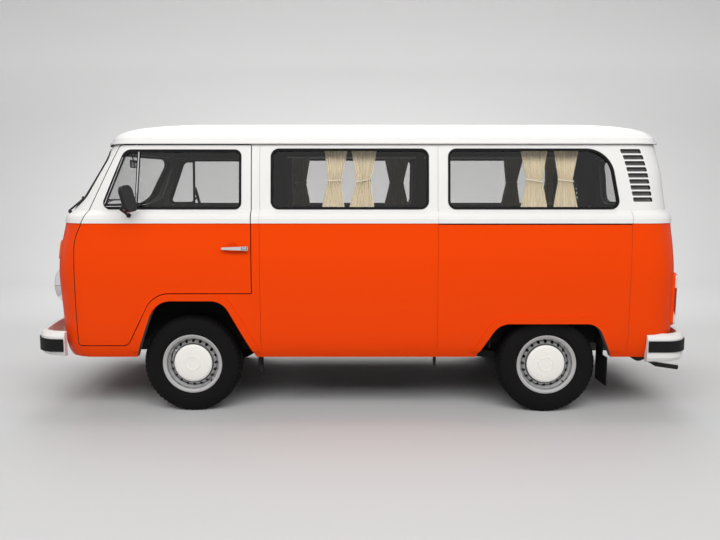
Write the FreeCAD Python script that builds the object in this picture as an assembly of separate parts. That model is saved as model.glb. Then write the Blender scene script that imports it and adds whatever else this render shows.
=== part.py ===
"""Camper van with a forward cab, two-tone body, curtained side windows and a rear engine.

Frame: millimetres, +Z up, the ground at z = 0, the origin on the ground at the middle of
the overall length. The van faces -X, so its left side is -Y.
"""
import FreeCAD, Part
import math
import os
from functools import lru_cache
from FreeCAD import Vector

# Overall and running gear
wheelbase = 2400.0
front_axle_x = -1152.0
rear_axle_x = front_axle_x + wheelbase
front_track = 1394.0
rear_track = 1440.0
bumper_reach = 2252.0
roof_top_z = 1957.0

# Body levels
sill_z = 400.0
belt_z = 1285.0
waist_z = 1368.0
gutter_z = 1812.0

# Walls, gaps and glazing
wall = 56.0
door_depth = 42.0
lip_gap = 0.3
door_gap = 6.0
edge_step = 5.0
edge_skin = 8.0
jamb_lip = 26.0
glass_depth = 9.0
glass_thickness = 5.0
seal_width = 16.0
seal_proud = 4.0
seal_depth = 22.0
seat_gap = 0.3
pane_edge = 4.0
grille_depth = 16.0
roof_sheet = 30.0
roof_edge = 44.0
gutter_reach = 13.0

# Plan shape of the body shell: front bow radius, front and rear corner radii
sill_plan = (2400.0, 220.0, 215.0)
lower_plan = (2300.0, 250.0, 230.0)
belt_plan = (2000.0, 255.0, 230.0)
waist_plan = (1820.0, 240.0, 220.0)
upper_plan = (1500.0, 200.0, 200.0)
bow_rear = 4500.0

# Side windows and seams: x along the van, z up
window_bottom_z = 1375.0
window_top_z = 1774.0
window_corner = 55.0
front_window_x = (-601.0, 441.0)
rear_window_x = (566.0, 1703.0)
rear_window_lean = 70.0
centre_seam_x = (-672.0, 500.0)
rear_seam_x = 1768.0
seam_width = 3.0
seam_depth = 3.0
rail_slot_height = 6.0
rail_slot_depth = 9.0

# Cab doors
door_rear_x = -725.0
door_top_z = gutter_z - 10.0
door_step_z = 820.0
door_bottom_z = 467.0

# Wheels: radii, and offsets outwards from the wheel's middle plane
tyre_radius = 328.0
tyre_half = 93.0
tread_half = 40.0
flange_radius = 201.0
flange_half = 73.0
flange_roll = 9.0
bead_radius = 183.0
bead_half = 66.0
ledge_radius = 180.0
ledge_x = (-32.0, 36.0)
well_radius = 166.0
well_x = (-18.0, 22.0)
rim_sheet = 6.0
disc_face = 46.0
disc_sheet = 8.0
hub_radius = 52.0
hub_back = -26.0
stub_radius = 20.0
hub_bore = stub_radius + seat_gap
cap_radius = 129.0
cap_height = 17.0
vent_count = 20
vent_radius = 10.0
vent_ring_radius = 150.5

parts = {}


def v(x, y, z):
    return Vector(x, y, z)


def fuse(shapes):
    """One solid from shapes that meet or overlap."""
    first, rest = shapes[0], list(shapes[1:])
    return first.fuse(rest) if rest else first


def box(x0, x1, y0, y1, z0, z1):
    return Part.makeBox(x1 - x0, y1 - y0, z1 - z0, v(x0, y0, z0))


def tube(start, end, radius, bore=0.0):
    """Round bar or tube between two points."""
    along = end - start
    bar = Part.makeCylinder(radius, along.Length, start, along)
    if bore:
        bar = bar.cut(Part.makeCylinder(bore, along.Length, start, along))
    return bar


def mirrored(shape):
    """The same shape on the other side of the van."""
    return shape.mirror(v(0, 0, 0), v(0, 1, 0))


def both_sides(shape):
    return Part.makeCompound([shape, mirrored(shape)])


def inset_outline(corners, inset):
    """Moves every side of a closed outline of (a, b, radius) corners inwards by inset."""
    count = len(corners)
    area = sum(corners[i][0] * corners[(i + 1) % count][1]
               - corners[(i + 1) % count][0] * corners[i][1] for i in range(count))
    turn = 1.0 if area > 0 else -1.0
    moved = []
    for i in range(count):
        a, b, radius = corners[i]
        pa, pb = corners[i - 1][:2]
        na, nb = corners[(i + 1) % count][:2]
        d1 = math.hypot(a - pa, b - pb)
        d2 = math.hypot(na - a, nb - b)
        u1 = ((a - pa) / d1, (b - pb) / d1)
        u2 = ((na - a) / d2, (nb - b) / d2)
        n1 = (-u1[1] * turn, u1[0] * turn)
        n2 = (-u2[1] * turn, u2[0] * turn)
        cross = (u1[0] * u2[1] - u1[1] * u2[0]) * turn
        scale = inset / (1.0 + n1[0] * n2[0] + n1[1] * n2[1])
        new_radius = radius - inset if cross > 0 else radius + inset
        moved.append((a + (n1[0] + n2[0]) * scale, b + (n1[1] + n2[1]) * scale,
                      max(new_radius, 1.0) if radius else 0.0))
    return moved


def rounded_wire(corners, place):
    """Closed wire of straight sides and corner arcs; place(a, b) gives the 3-D point."""
    count = len(corners)
    starts, ends, middles = [], [], []
    for i in range(count):
        a, b, radius = corners[i]
        here = place(a, b)
        before = place(*corners[i - 1][:2]) - here
        after = place(*corners[(i + 1) % count][:2]) - here
        before.normalize()
        after.normalize()
        half = before.getAngle(after) / 2.0
        if radius <= 0 or abs(half - math.pi / 2) < 1e-3:
            starts.append(here)
            ends.append(here)
            middles.append(None)
            continue
        reach = radius / math.tan(half)
        centre = here + (before + after).normalize() * (radius / math.sin(half))
        starts.append(here + before * reach)
        ends.append(here + after * reach)
        middles.append(centre + (here - centre).normalize() * radius)
    edges = []
    for i in range(count):
        if middles[i] is not None:
            edges.append(Part.Arc(starts[i], middles[i], ends[i]).toShape())
        following = (i + 1) % count
        if (starts[following] - ends[i]).Length > 1e-6:
            edges.append(Part.makeLine(ends[i], starts[following]))
    return Part.Wire(edges)


def side_prism(corners, y0, y1, inset=0.0):
    """Outline in (x, z), pulled from y0 to y1."""
    wire = rounded_wire(inset_outline(corners, inset), lambda a, b: v(a, y0, b))
    return Part.Face(wire).extrude(v(0, y1 - y0, 0))


def front_prism(corners, x0, x1, inset=0.0):
    """Outline in (y, z), pulled from x0 to x1."""
    wire = rounded_wire(inset_outline(corners, inset), lambda a, b: v(x0, a, b))
    return Part.Face(wire).extrude(v(x1 - x0, 0, 0))


def plan_prism(corners, z0, z1):
    """Outline in (x, y), pulled from z0 to z1."""
    wire = rounded_wire(corners, lambda a, b: v(a, b, z0))
    return Part.Face(wire).extrude(v(0, 0, z1 - z0))


def revolved(points, centre, axis):
    """Solid of revolution from (along, radius) points about axis through centre."""
    away = v(1, 0, 0) if abs(axis.x) < 0.5 else v(0, 0, 1)
    outline = [centre + axis * a + away * r for a, r in points]
    wire = Part.makePolygon(outline + outline[:1])
    return Part.Face(wire).revolve(centre, axis, 360)


def plan_section(station, inset):
    """Plan outline of the body at one height: bowed ends, round corners, straight sides."""
    z, front, rear, half, (bow_front, corner_f, corner_r) = station
    front, rear, half = front + inset, rear - inset, half - inset
    bow_f, bow_r = bow_front - inset, bow_rear - inset
    rf, rr = corner_f - inset, corner_r - inset
    bow_f_x = front + bow_f
    bow_r_x = rear - bow_r
    corner_f_x = bow_f_x - math.sqrt((bow_f - rf) ** 2 - (half - rf) ** 2)
    corner_r_x = bow_r_x + math.sqrt((bow_r - rr) ** 2 - (half - rr) ** 2)

    def tangent(bow_x, bow, corner_x, r):
        away = v(corner_x - bow_x, half - r, 0).normalize()
        return v(bow_x, 0, z) + away * bow

    def arc_middle(corner_x, r, first, second):
        centre = v(corner_x, half - r, z)
        return centre + ((first - centre) + (second - centre)).normalize() * r

    def other(p):
        return v(p.x, -p.y, p.z)

    f_bow = tangent(bow_f_x, bow_f, corner_f_x, rf)
    r_bow = tangent(bow_r_x, bow_r, corner_r_x, rr)
    f_side = v(corner_f_x, half, z)
    r_side = v(corner_r_x, half, z)
    f_mid = arc_middle(corner_f_x, rf, f_bow, f_side)
    r_mid = arc_middle(corner_r_x, rr, r_bow, r_side)
    return Part.Wire([
        Part.Arc(other(f_bow), v(front, 0, z), f_bow).toShape(),
        Part.Arc(f_bow, f_mid, f_side).toShape(),
        Part.makeLine(f_side, r_side),
        Part.Arc(r_side, r_mid, r_bow).toShape(),
        Part.Arc(r_bow, v(rear, 0, z), other(r_bow)).toShape(),
        Part.Arc(other(r_bow), other(r_mid), other(r_side)).toShape(),
        Part.makeLine(other(r_side), other(f_side)),
        Part.Arc(other(f_side), other(f_mid), other(f_bow)).toShape()])


# Stations of the shell: height, nose x, tail x and half width at mid-face, plan shape
lower_stations = [(sill_z - 12, -2098.0, 2130.0, 818.0, sill_plan),
                  (sill_z + 70, -2128.0, 2160.0, 845.0, sill_plan),
                  (660.0, -2150.0, 2177.0, 857.0, lower_plan),
                  (860.0, -2163.0, 2178.0, 860.0, lower_plan),
                  (1080.0, -2153.0, 2167.0, 858.0, lower_plan),
                  (belt_z, -2122.0, 2140.0, 848.0, belt_plan)]
upper_stations = [(belt_z, -2127.0, 2145.0, 854.0, belt_plan),
                  (belt_z + 30, -2122.0, 2143.0, 853.0, belt_plan),
                  (belt_z + 48, -2114.0, 2138.0, 848.0, belt_plan),
                  (belt_z + 62, -2101.0, 2129.0, 838.0, waist_plan),
                  (belt_z + 74, -2087.0, 2118.0, 822.0, waist_plan),
                  (waist_z, -2074.0, 2109.0, 808.0, waist_plan),
                  (1617.0, -1932.0, 2072.0, 777.0, upper_plan),
                  (gutter_z, -1805.0, 2022.0, 746.0, upper_plan)]
roof_base = (gutter_z, -1819.0, 2030.0, 754.0, upper_plan)
roof_rows = 9
roof_draw = (860.0, 600.0, 390.0)


def shell_solid(stations, inset=0.0, ruled=False):
    """Loft through the plan outlines of some stations, all of them pulled in by inset."""
    sections = [plan_section(station, inset) for station in stations]
    return Part.makeLoft(sections, True, ruled)


@lru_cache(maxsize=None)
def lower_solid(inset=0.0):
    """Everything inside the lower body, below the paint break."""
    return shell_solid(lower_stations, inset)


@lru_cache(maxsize=None)
def upper_solid(inset=0.0):
    """Everything inside the raised waist band and the glazed upper body."""
    return shell_solid(upper_stations, inset, True)


def roof_stations(height):
    """Rows up the crown of the roof: steep at the gutter and almost level on top."""
    z, front, rear, half, plan = roof_base
    rows = []
    for i in range(roof_rows):
        share = i / (roof_rows - 1.0)
        rise = math.sin(share * math.pi / 2)
        draw = (1.0 - math.cos(share * math.pi / 2)) ** 1.25
        rows.append((z + height * rise, front + roof_draw[0] * draw, rear - roof_draw[1] * draw,
                     half - roof_draw[2] * draw,
                     (plan[0], plan[1] * (1.0 + 0.2 * draw), plan[2] * (1.0 + 0.2 * draw))))
    return rows


@lru_cache(maxsize=None)
def lower_layer(outer_inset, inner_inset):
    """Lower skin between two depths below its surface; a negative depth stands proud."""
    return lower_solid(outer_inset).cut(lower_solid(inner_inset))


@lru_cache(maxsize=None)
def upper_layer(outer_inset, inner_inset):
    """Upper skin between two depths below its surface."""
    return upper_solid(outer_inset).cut(upper_solid(inner_inset))


# Outlines seen from the side, (x, z, corner radius)
door_outline = [(-1894.0, door_bottom_z, 24.0), (-1556.0, door_bottom_z, 60.0),
                (-1375.0, door_step_z, 170.0), (door_rear_x, door_step_z, 12.0),
                (door_rear_x, door_top_z, 14.0), (-1606.0, door_top_z, 40.0),
                (-1812.0, 1345.0, 90.0), (-1896.0, 1180.0, 260.0), (-1900.0, 700.0, 200.0)]
door_window = [(-1722.0, window_bottom_z, 45.0), (-793.0, window_bottom_z, 45.0),
               (-793.0, window_top_z - 6, 45.0), (-1566.0, window_top_z - 6, 70.0)]
front_arch = [(-1541.0, 300.0, 0.0), (-657.0, 300.0, 0.0), (-923.0, 774.0, 130.0),
              (-1367.0, 774.0, 150.0)]
rear_arch = [(703.0, 300.0, 0.0), (1712.0, 300.0, 0.0), (1565.0, 620.0, 110.0),
             (910.0, 620.0, 130.0)]
front_side_window = [(front_window_x[0], window_bottom_z, window_corner),
                     (front_window_x[1], window_bottom_z, window_corner),
                     (front_window_x[1], window_top_z, window_corner),
                     (front_window_x[0], window_top_z, window_corner)]
rear_side_window = [(rear_window_x[0], window_bottom_z, window_corner),
                    (rear_window_x[1], window_bottom_z, window_corner),
                    (rear_window_x[1] - rear_window_lean, window_top_z, 190.0),
                    (rear_window_x[0], window_top_z, window_corner)]
slider_outline = [(centre_seam_x[0], 440.0, 30.0), (centre_seam_x[1], 440.0, 30.0),
                  (centre_seam_x[1], door_top_z, 14.0), (centre_seam_x[0], door_top_z, 14.0)]

# Outlines seen from the front or rear, (y, z, corner radius)
windscreen_outline = [(-756.0, 1376.0, 85.0), (756.0, 1376.0, 85.0),
                      (690.0, 1778.0, 110.0), (-690.0, 1778.0, 110.0)]
tailgate_outline = [(-610.0, 905.0, 60.0), (610.0, 905.0, 60.0), (590.0, 1400.0, 300.0),
                    (545.0, 1796.0, 110.0), (-545.0, 1796.0, 110.0), (-590.0, 1400.0, 300.0)]
tailgate_window = [(-530.0, 1392.0, 80.0), (530.0, 1392.0, 80.0), (480.0, 1746.0, 90.0),
                   (-480.0, 1746.0, 90.0)]
engine_lid_outline = [(-470.0, 560.0, 50.0), (470.0, 560.0, 50.0), (470.0, 888.0, 50.0),
                      (-470.0, 888.0, 50.0)]

side_reach = 1100.0
side_near = 450.0
nose_cut_x = (-2400.0, -1250.0)
screen_cut_x = -1640.0
tail_cut_x = (1850.0, 2400.0)


def left_prism(outline, inset=0.0):
    return side_prism(outline, -side_reach, -side_near, inset)


def right_prism(outline, inset=0.0):
    return side_prism(outline, side_near, side_reach, inset)


def nose_prism(outline, inset=0.0):
    return front_prism(outline, nose_cut_x[0], nose_cut_x[1], inset)


def tail_prism(outline, inset=0.0):
    return front_prism(outline, tail_cut_x[0], tail_cut_x[1], inset)


def closure_cutters(prism_of, outline, core):
    """What a door takes out of the wall: a rebate to the door's depth, then a way through."""
    return [prism_of(outline).cut(core), prism_of(outline, jamb_lip)]


def lower_cutters(prism_of, outline):
    return closure_cutters(prism_of, outline, lower_solid(door_depth + lip_gap))


def upper_cutters(prism_of, outline):
    return closure_cutters(prism_of, outline, upper_solid(door_depth + lip_gap))


def closure_panel(prism_of, outline, tall):
    """A door or lid that fills its rebate; its inner edge steps in so that it can swing."""
    prism = prism_of(outline, door_gap)
    rim = prism.cut(prism_of(outline, door_gap + edge_step))
    panel = prism.common(lower_layer(0.0, door_depth)).cut(rim.common(lower_solid(edge_skin)))
    if not tall:
        return panel
    upper = prism.common(upper_layer(0.0, door_depth)).cut(rim.common(upper_solid(edge_skin)))
    return panel.fuse(upper)


def pane(prism_of, outline):
    """Curved glass that follows the upper body a little below its surface."""
    skin = upper_layer(glass_depth, glass_depth + glass_thickness)
    return prism_of(outline, pane_edge).common(skin)


def window_seal(prism_of, outline, glass):
    """Rubber round a pane: it fills the edge of the hole and grips the glass."""
    ring = prism_of(outline, seat_gap).cut(prism_of(outline, seal_width))
    return ring.common(upper_layer(-seal_proud, seal_depth)).cut(glass)


# Lamps, flares and louvres in the lower and upper body
arch_flare = 46.0
flare_proud = 9.0
headlamp_y = 560.0
headlamp_z = 850.0
headlamp_face_x = -2096.0
headlamp_radius = 104.0
headlamp_ring_radius = 121.0
headlamp_ring_depth = 52.0
indicator_outline = [(430.0, 1030.0, 12.0), (600.0, 1030.0, 12.0), (600.0, 1156.0, 12.0),
                     (430.0, 1156.0, 12.0)]
tail_lamp_outline = [(650.0, 600.0, 20.0), (762.0, 600.0, 20.0), (762.0, 934.0, 20.0),
                     (650.0, 934.0, 20.0)]
lamp_pod = 14.0
lamp_pod_rim = 8.0
lamp_lens_proud = 24.0
louvre_count = 9
louvre_top_z = 1770.0
louvre_pitch = 39.5
louvre_height = 29.0
louvre_front_x = 1697.0
louvre_front_spread = 84.0
louvre_length = 134.0
grille_outline = [(-395.0, 1062.0, 20.0), (395.0, 1062.0, 20.0), (395.0, 1140.0, 20.0),
                  (-395.0, 1140.0, 20.0)]
grille_slats = 4


def arch_lip(outline, layer_out):
    """The rolled lip round a wheel arch."""
    band = left_prism(outline, -arch_flare).cut(left_prism(outline))
    lip = band.common(layer_out)
    above_sill = box(-3000, 3000, -side_reach, 0, sill_z + 30, 1200)
    return lip.common(above_sill)


def louvre_cutter():
    """Slots of the engine's air intake: each one leans with the rear edge of the body."""
    slots = []
    for i in range(louvre_count):
        drop = i * louvre_pitch
        share = i / (louvre_count - 1.0)
        lean = 10.0 - 6.0 * share
        x0 = louvre_front_x + louvre_front_spread * share ** 0.75
        x1 = x0 + louvre_length - 4.0 * share
        top = louvre_top_z - drop
        corners = [(x0 + lean, top - louvre_height, 6.0), (x1 + lean, top - louvre_height, 6.0),
                   (x1, top, 12.0), (x0, top, 6.0)]
        slots.append(side_prism(corners, -side_reach, -side_near))
    return slots


wheel_face_y = 826.0
door_edge_room = box(-2000, -1780, -side_reach, 0, 400, 1340)


def cut_away(solid, cutters):
    """Takes the cutters out one after the other."""
    for cutter in cutters:
        solid = solid.cut(cutter)
    return solid


def seam(x, z0, z1, core):
    """Shallow upright groove in the left side."""
    groove = box(x - seam_width / 2, x + seam_width / 2, -side_reach, -side_near, z0, z1)
    return groove.cut(core)


def headlamp_tube(side, x0, x1, radius, bore=0.0):
    """Round bar or tube along a headlamp's axis."""
    return tube(v(x0, side * headlamp_y, headlamp_z), v(x1, side * headlamp_y, headlamp_z),
                radius, bore)


def body_lower():
    """Orange lower body: nose, sides, tail and wheel arches, open for the doors and lids."""
    cutters = lower_cutters(left_prism, door_outline)
    cutters += [left_prism(front_arch), left_prism(rear_arch)]
    cutters += [Part.makeCylinder(tyre_radius + 22, 300, v(x, -wheel_face_y, tyre_radius),
                                  v(0, 1, 0)) for x in (front_axle_x, rear_axle_x)]
    cutters.append(left_prism(door_outline).common(door_edge_room))
    cutters += [mirrored(c) for c in cutters]
    cutters += lower_cutters(right_prism, slider_outline)
    cutters += lower_cutters(tail_prism, tailgate_outline)
    cutters += lower_cutters(tail_prism, engine_lid_outline)
    groove_floor = lower_solid(seam_depth)
    cutters += [seam(x, 440, belt_z, groove_floor) for x in centre_seam_x + (rear_seam_x,)]
    slot = box(centre_seam_x[1], rear_seam_x, -side_reach, -side_near,
               belt_z - rail_slot_height, belt_z)
    cutters.append(slot.cut(lower_solid(rail_slot_depth)))
    ring_x = headlamp_face_x + seat_gap
    for side in (-1, 1):
        cutters.append(headlamp_tube(side, -2300, -1900, headlamp_radius))
        cutters.append(headlamp_tube(side, -2300, ring_x, headlamp_ring_radius))
    cutters.append(nose_prism(grille_outline).cut(lower_solid(grille_depth)))
    solid = cut_away(lower_layer(0.0, wall), cutters)
    flare_layer = lower_layer(-flare_proud, 1.0)
    lips = [arch_lip(front_arch, flare_layer), arch_lip(rear_arch, flare_layer)]
    door_room = left_prism(door_outline)
    lips = [lip.cut(door_room) for lip in lips]
    pod = tail_prism(tail_lamp_outline, -lamp_pod_rim).common(lower_layer(-lamp_pod, 1.0))
    ring = headlamp_tube(-1, ring_x, ring_x + headlamp_ring_depth, headlamp_ring_radius,
                         headlamp_radius)
    extras = lips + [pod, ring]
    return solid.fuse(extras + [mirrored(e) for e in extras])


def body_upper():
    """White upper body: waist band, pillars and window surrounds."""
    cutters = upper_cutters(left_prism, door_outline)
    cutters.append(left_prism(door_outline).common(door_edge_room))
    cutters += [left_prism(rear_side_window)] + louvre_cutter()
    cutters += [mirrored(c) for c in cutters]
    cutters.append(left_prism(front_side_window))
    cutters += upper_cutters(right_prism, slider_outline)
    cutters += upper_cutters(tail_prism, tailgate_outline)
    cutters.append(front_prism(windscreen_outline, nose_cut_x[0], screen_cut_x))
    groove_floor = upper_solid(seam_depth)
    cutters += [seam(x, belt_z, gutter_z, groove_floor) for x in centre_seam_x]
    cutters.append(seam(rear_seam_x, belt_z, waist_z, groove_floor))
    return cut_away(upper_layer(0.0, wall), cutters)


def roof():
    """Pressed roof with a rain gutter along its sides and over the windscreen."""
    z, front, rear, half, plan = roof_base
    crown = roof_top_z - z
    rows = roof_stations(crown)
    inner_rows = roof_stations(crown - roof_sheet)
    under = [(z - 1, front, rear, half, plan)] + inner_rows
    gutter_rows = [(z - 8, front, rear, half, plan), (z + 3, front, rear, half, plan)]
    hole_rows = [(z - 9, front, rear, half, plan), (z + 4, front, rear, half, plan)]
    gutter = shell_solid(gutter_rows, -gutter_reach, True).cut(shell_solid(hole_rows, 2.0, True))
    over_tailgate = box(1850, 2400, -650, 650, z - 20, z + 20)
    shell = shell_solid(rows, 0.0, True).cut(shell_solid(under, roof_edge, True))
    return shell.fuse(gutter.cut(over_tailgate))


# Underbody
floor_z = 470.0
floor_sheet = 30.0
deck_z = 905.0
deck_front_x = 640.0
floor_front_x = -2040.0
deck_rear_x = 2090.0
front_house_x = (-1556.0, -748.0)
front_house_y = 412.0
front_house_z = 798.0
rear_house_x = (858.0, 1638.0)
rear_house_y = 598.0
house_sheet = 8.0
floor_mat = (-560.0, 90.0, -400.0, 560.0)
deck_mat = (780.0, 1950.0, -560.0, 560.0)
mat_height = 3.0
rear_house_z = deck_z - floor_sheet + house_sheet
rail_y = (300.0, 370.0)
rail_z = (335.0, floor_z - floor_sheet)
kingpin_y = 590.0
kingpin_radius = 20.0
kingpin_z = (250.0, 446.0)
beam_x = -1290.0
beam_z = (262.0, 372.0)
beam_radius = 30.0
beam_half = 430.0
beam_brace_y = 200.0
arm_eye = 28.0
arm_height = 24.0
arm_root_y = 400.0
kingpin_boss_z = (288.0, 370.0)
kingpin_boss_radius = 27.0
hub_seat_reach = 42.0
hub_seat_radius = 34.0
stub_reach = 36.0
hub_inset = 58.0
shaft_radius = 24.0
drum_radius = 62.0
drum_width = 50.0
arm_half_height = 26.0
gearbox_half = 170.0
rail_x = (-1950.0, 1120.0)
cross_x = (-1480.0, -720.0, 120.0, 1040.0)
cross_width = 50.0
jack_x = (-715.0, 475.0)
jack_width = 45.0
jack_y = (700.0, 740.0)
jack_foot_z = 310.0
wheel_front_y = front_track / 2
wheel_rear_y = rear_track / 2


def inside_lower(shape):
    """Trims a piece to the space inside the lower walls."""
    return shape.common(lower_solid(wall + seat_gap))


def wheel_house(x_range, y_inner, top):
    """Closed box over a wheel, open below and outwards."""
    outer = box(x_range[0], x_range[1], y_inner, side_reach, floor_z - floor_sheet, top)
    inner = box(x_range[0] + house_sheet, x_range[1] - house_sheet, y_inner + house_sheet,
                side_reach, floor_z - floor_sheet - 1, top - house_sheet)
    return outer, inner


def floor_pan():
    """Floor, wheel houses, rear bulkhead and the deck over the engine."""
    floor = box(floor_front_x, deck_front_x + floor_sheet, -side_reach, side_reach,
                floor_z - floor_sheet, floor_z)
    bulkhead = box(deck_front_x, deck_front_x + floor_sheet, -side_reach, side_reach,
                   floor_z - floor_sheet, deck_z)
    deck = box(deck_front_x, deck_rear_x, -side_reach, side_reach, deck_z - floor_sheet, deck_z)
    outers, inners = [], []
    for x_range, y_inner, top in ((front_house_x, front_house_y, front_house_z),
                                  (rear_house_x, rear_house_y, rear_house_z)):
        outer, inner = wheel_house(x_range, y_inner, top)
        outers += [outer, mirrored(outer)]
        inners += [inner, mirrored(inner)]
    solid = fuse([floor, bulkhead, deck] + outers).cut(inners)
    mats = [box(*floor_mat, floor_z, floor_z + mat_height),
            box(*deck_mat, deck_z, deck_z + mat_height)]
    return inside_lower(solid).fuse(mats)


def frame_rails():
    """Two long box rails under the floor with jacking brackets at the sills."""
    rail = box(*rail_x, *rail_y, *rail_z)
    pieces = [rail, mirrored(rail)]
    for x in cross_x:
        pieces.append(box(x, x + cross_width, -rail_y[0] - 5, rail_y[0] + 5, rail_z[0] + 20,
                          rail_z[1]))
    for x in jack_x:
        outrigger = box(x, x + jack_width, rail_y[1] - 5, jack_y[1], rail_z[1] - 34, rail_z[1])
        foot = box(x + 14, x + 30, *jack_y, jack_foot_z, rail_z[1])
        pieces += [outrigger, foot, mirrored(outrigger), mirrored(foot)]
    solid = fuse(pieces)
    beams = [tube(v(beam_x, -beam_half, z), v(beam_x, beam_half, z), beam_radius + seat_gap)
             for z in beam_z]
    return solid.cut(beams)


def front_axle():
    """Two cross tubes with trailing arms; each arm ends in an eye for the steering pin."""
    pieces = []
    for z in beam_z:
        pieces.append(tube(v(beam_x, -beam_half, z), v(beam_x, beam_half, z), beam_radius))
    for z in (kingpin_z[0] + 6, kingpin_z[1] - arm_height - 6):
        top = z + arm_height
        corners = [(beam_x - 18, arm_root_y, 0), (beam_x + 24, arm_root_y, 0),
                   (front_axle_x + 12, kingpin_y - 8, 0), (front_axle_x - 16, kingpin_y + 10, 0)]
        arm = plan_prism(corners, z, top)
        eye = tube(v(front_axle_x, kingpin_y, z), v(front_axle_x, kingpin_y, top), arm_eye)
        boss = box(beam_x - 18, beam_x + 24, arm_root_y - 4, arm_root_y + 24,
                   min(z, beam_z[0]), max(top, beam_z[1]))
        pieces += [arm, eye, boss, mirrored(arm), mirrored(eye), mirrored(boss)]
    for y in (-beam_brace_y, beam_brace_y):
        pieces.append(box(beam_x - 12, beam_x + 12, y - 20, y + 20, *beam_z))
    solid = fuse(pieces)
    bores = [tube(v(front_axle_x, side * kingpin_y, 200), v(front_axle_x, side * kingpin_y, 500),
                  kingpin_radius + seat_gap) for side in (-1, 1)]
    return solid.cut(bores)


def axle_bar(x, y0, y1, radius):
    """Round bar along a wheel's axis."""
    return tube(v(x, y0, tyre_radius), v(x, y1, tyre_radius), radius)


def knuckle(side):
    """Steering pin with the stub axle of one front wheel."""
    y = side * kingpin_y
    pin = tube(v(front_axle_x, y, kingpin_z[0]), v(front_axle_x, y, kingpin_z[1]),
               kingpin_radius)
    hub_seat = axle_bar(front_axle_x, y, side * (kingpin_y + hub_seat_reach), hub_seat_radius)
    stub = axle_bar(front_axle_x, y, side * (wheel_front_y + stub_reach), stub_radius)
    boss = tube(v(front_axle_x, y, kingpin_boss_z[0]), v(front_axle_x, y, kingpin_boss_z[1]),
                kingpin_boss_radius)
    return fuse([pin, boss, hub_seat, stub])


def rear_axle():
    """Half shafts, hub carriers and trailing arms of the rear wheels."""
    y_hub = wheel_rear_y - hub_inset
    shaft = axle_bar(rear_axle_x, gearbox_half + seat_gap, y_hub, shaft_radius)
    drum = axle_bar(rear_axle_x, y_hub - drum_width, y_hub, drum_radius)
    stub = axle_bar(rear_axle_x, y_hub, wheel_rear_y + stub_reach, stub_radius)
    pivot_y = rail_y[1] + seat_gap
    arm_end_x = rear_axle_x + 42
    arm_end_y = y_hub - 7
    arm = plan_prism([(700, pivot_y, 20), (790, pivot_y, 20), (arm_end_x, arm_end_y - 55, 20),
                      (arm_end_x, arm_end_y, 20), (arm_end_x - 80, arm_end_y, 20)],
                     tyre_radius - arm_half_height, tyre_radius + arm_half_height)
    half = fuse([shaft, drum, stub, arm])
    return Part.makeCompound([half, mirrored(half)])


engine_x = (1650.0, 2036.0)
engine_half = 385.0
engine_z = (330.0, 800.0)
gearbox_z = (235.0, 520.0)


def engine_transaxle():
    """Plain block for the engine with its gearbox in front."""
    block = box(*engine_x, -engine_half, engine_half, *engine_z)
    gearbox_front_x = cross_x[-1] + cross_width + seat_gap
    gearbox = box(gearbox_front_x, engine_x[0], -gearbox_half, gearbox_half, *gearbox_z)
    return fuse([block, gearbox])


def wheel_part(points, x, y, side):
    """Revolved wheel piece; points are (outboard offset, radius)."""
    return revolved(points, v(x, y, tyre_radius), v(0, side, 0))


def wheel(x, y, side):
    """Rim with hub, tyre and hub cap of one wheel."""
    barrel = [(-flange_half, flange_radius - flange_roll), (-flange_half, flange_radius),
              (-bead_half, flange_radius - 1), (-bead_half, bead_radius),
              (ledge_x[0], ledge_radius), (well_x[0], well_radius), (well_x[1], well_radius),
              (ledge_x[1], ledge_radius), (bead_half, bead_radius),
              (bead_half, flange_radius - 1), (flange_half, flange_radius),
              (flange_half, flange_radius - flange_roll),
              (bead_half + 1, bead_radius - rim_sheet),
              (ledge_x[1] + 2, ledge_radius - rim_sheet), (well_x[1] + 2, well_radius - rim_sheet),
              (well_x[0] - 2, well_radius - rim_sheet), (ledge_x[0] - 2, ledge_radius - rim_sheet),
              (-bead_half - 1, bead_radius - rim_sheet)]
    weld_radius = well_radius - rim_sheet + 2
    disc_back = disc_face - disc_sheet
    disc = [(6, weld_radius), (14, weld_radius), (disc_back, 141), (disc_face, 132),
            (disc_face, 96), (disc_back, 78), (disc_back, hub_bore), (hub_back, hub_bore),
            (hub_back, hub_radius), (26, hub_radius), (28, 78), (disc_back, 96),
            (disc_back, 130), (30, 138)]
    rim = wheel_part(barrel, x, y, side).fuse(wheel_part(disc, x, y, side))
    vents = []
    for i in range(vent_count):
        a = 2 * math.pi * i / vent_count
        centre = v(x + vent_ring_radius * math.cos(a), y,
                   tyre_radius + vent_ring_radius * math.sin(a))
        vents.append(Part.makeCylinder(vent_radius, 90, centre, v(0, side, 0)))
    rim = rim.cut(vents)
    bead_x = bead_half - seat_gap
    outer = [(bead_x, bead_radius + 0.4), (bead_x, flange_radius + 0.5), (76, 205), (89, 228),
             (tyre_half, 254), (90, 285), (80, 312), (66, 324), (tread_half, tyre_radius)]
    inner = [(tread_half, 312), (70, 296), (78, 254), (62, 212), (44, 190), (46, 181.5)]
    ring = [(-a, r) for a, r in outer] + outer[::-1] + inner[::-1] + [(-a, r) for a, r in inner]
    tyre = wheel_part(ring, x, y, side)
    base = disc_face + seat_gap
    top = disc_face + cap_height
    cap = wheel_part([(base, 0), (base, cap_radius - 5), (disc_face + 3, cap_radius),
                      (disc_face + 7, cap_radius - 1), (top - 4, 116), (top - 1, 84),
                      (top - 0.5, 52), (top + 2, 50), (top + 2, 45), (top - 0.4, 43), (top, 0)],
                     x, y, side)
    return rim, tyre, cap


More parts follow.
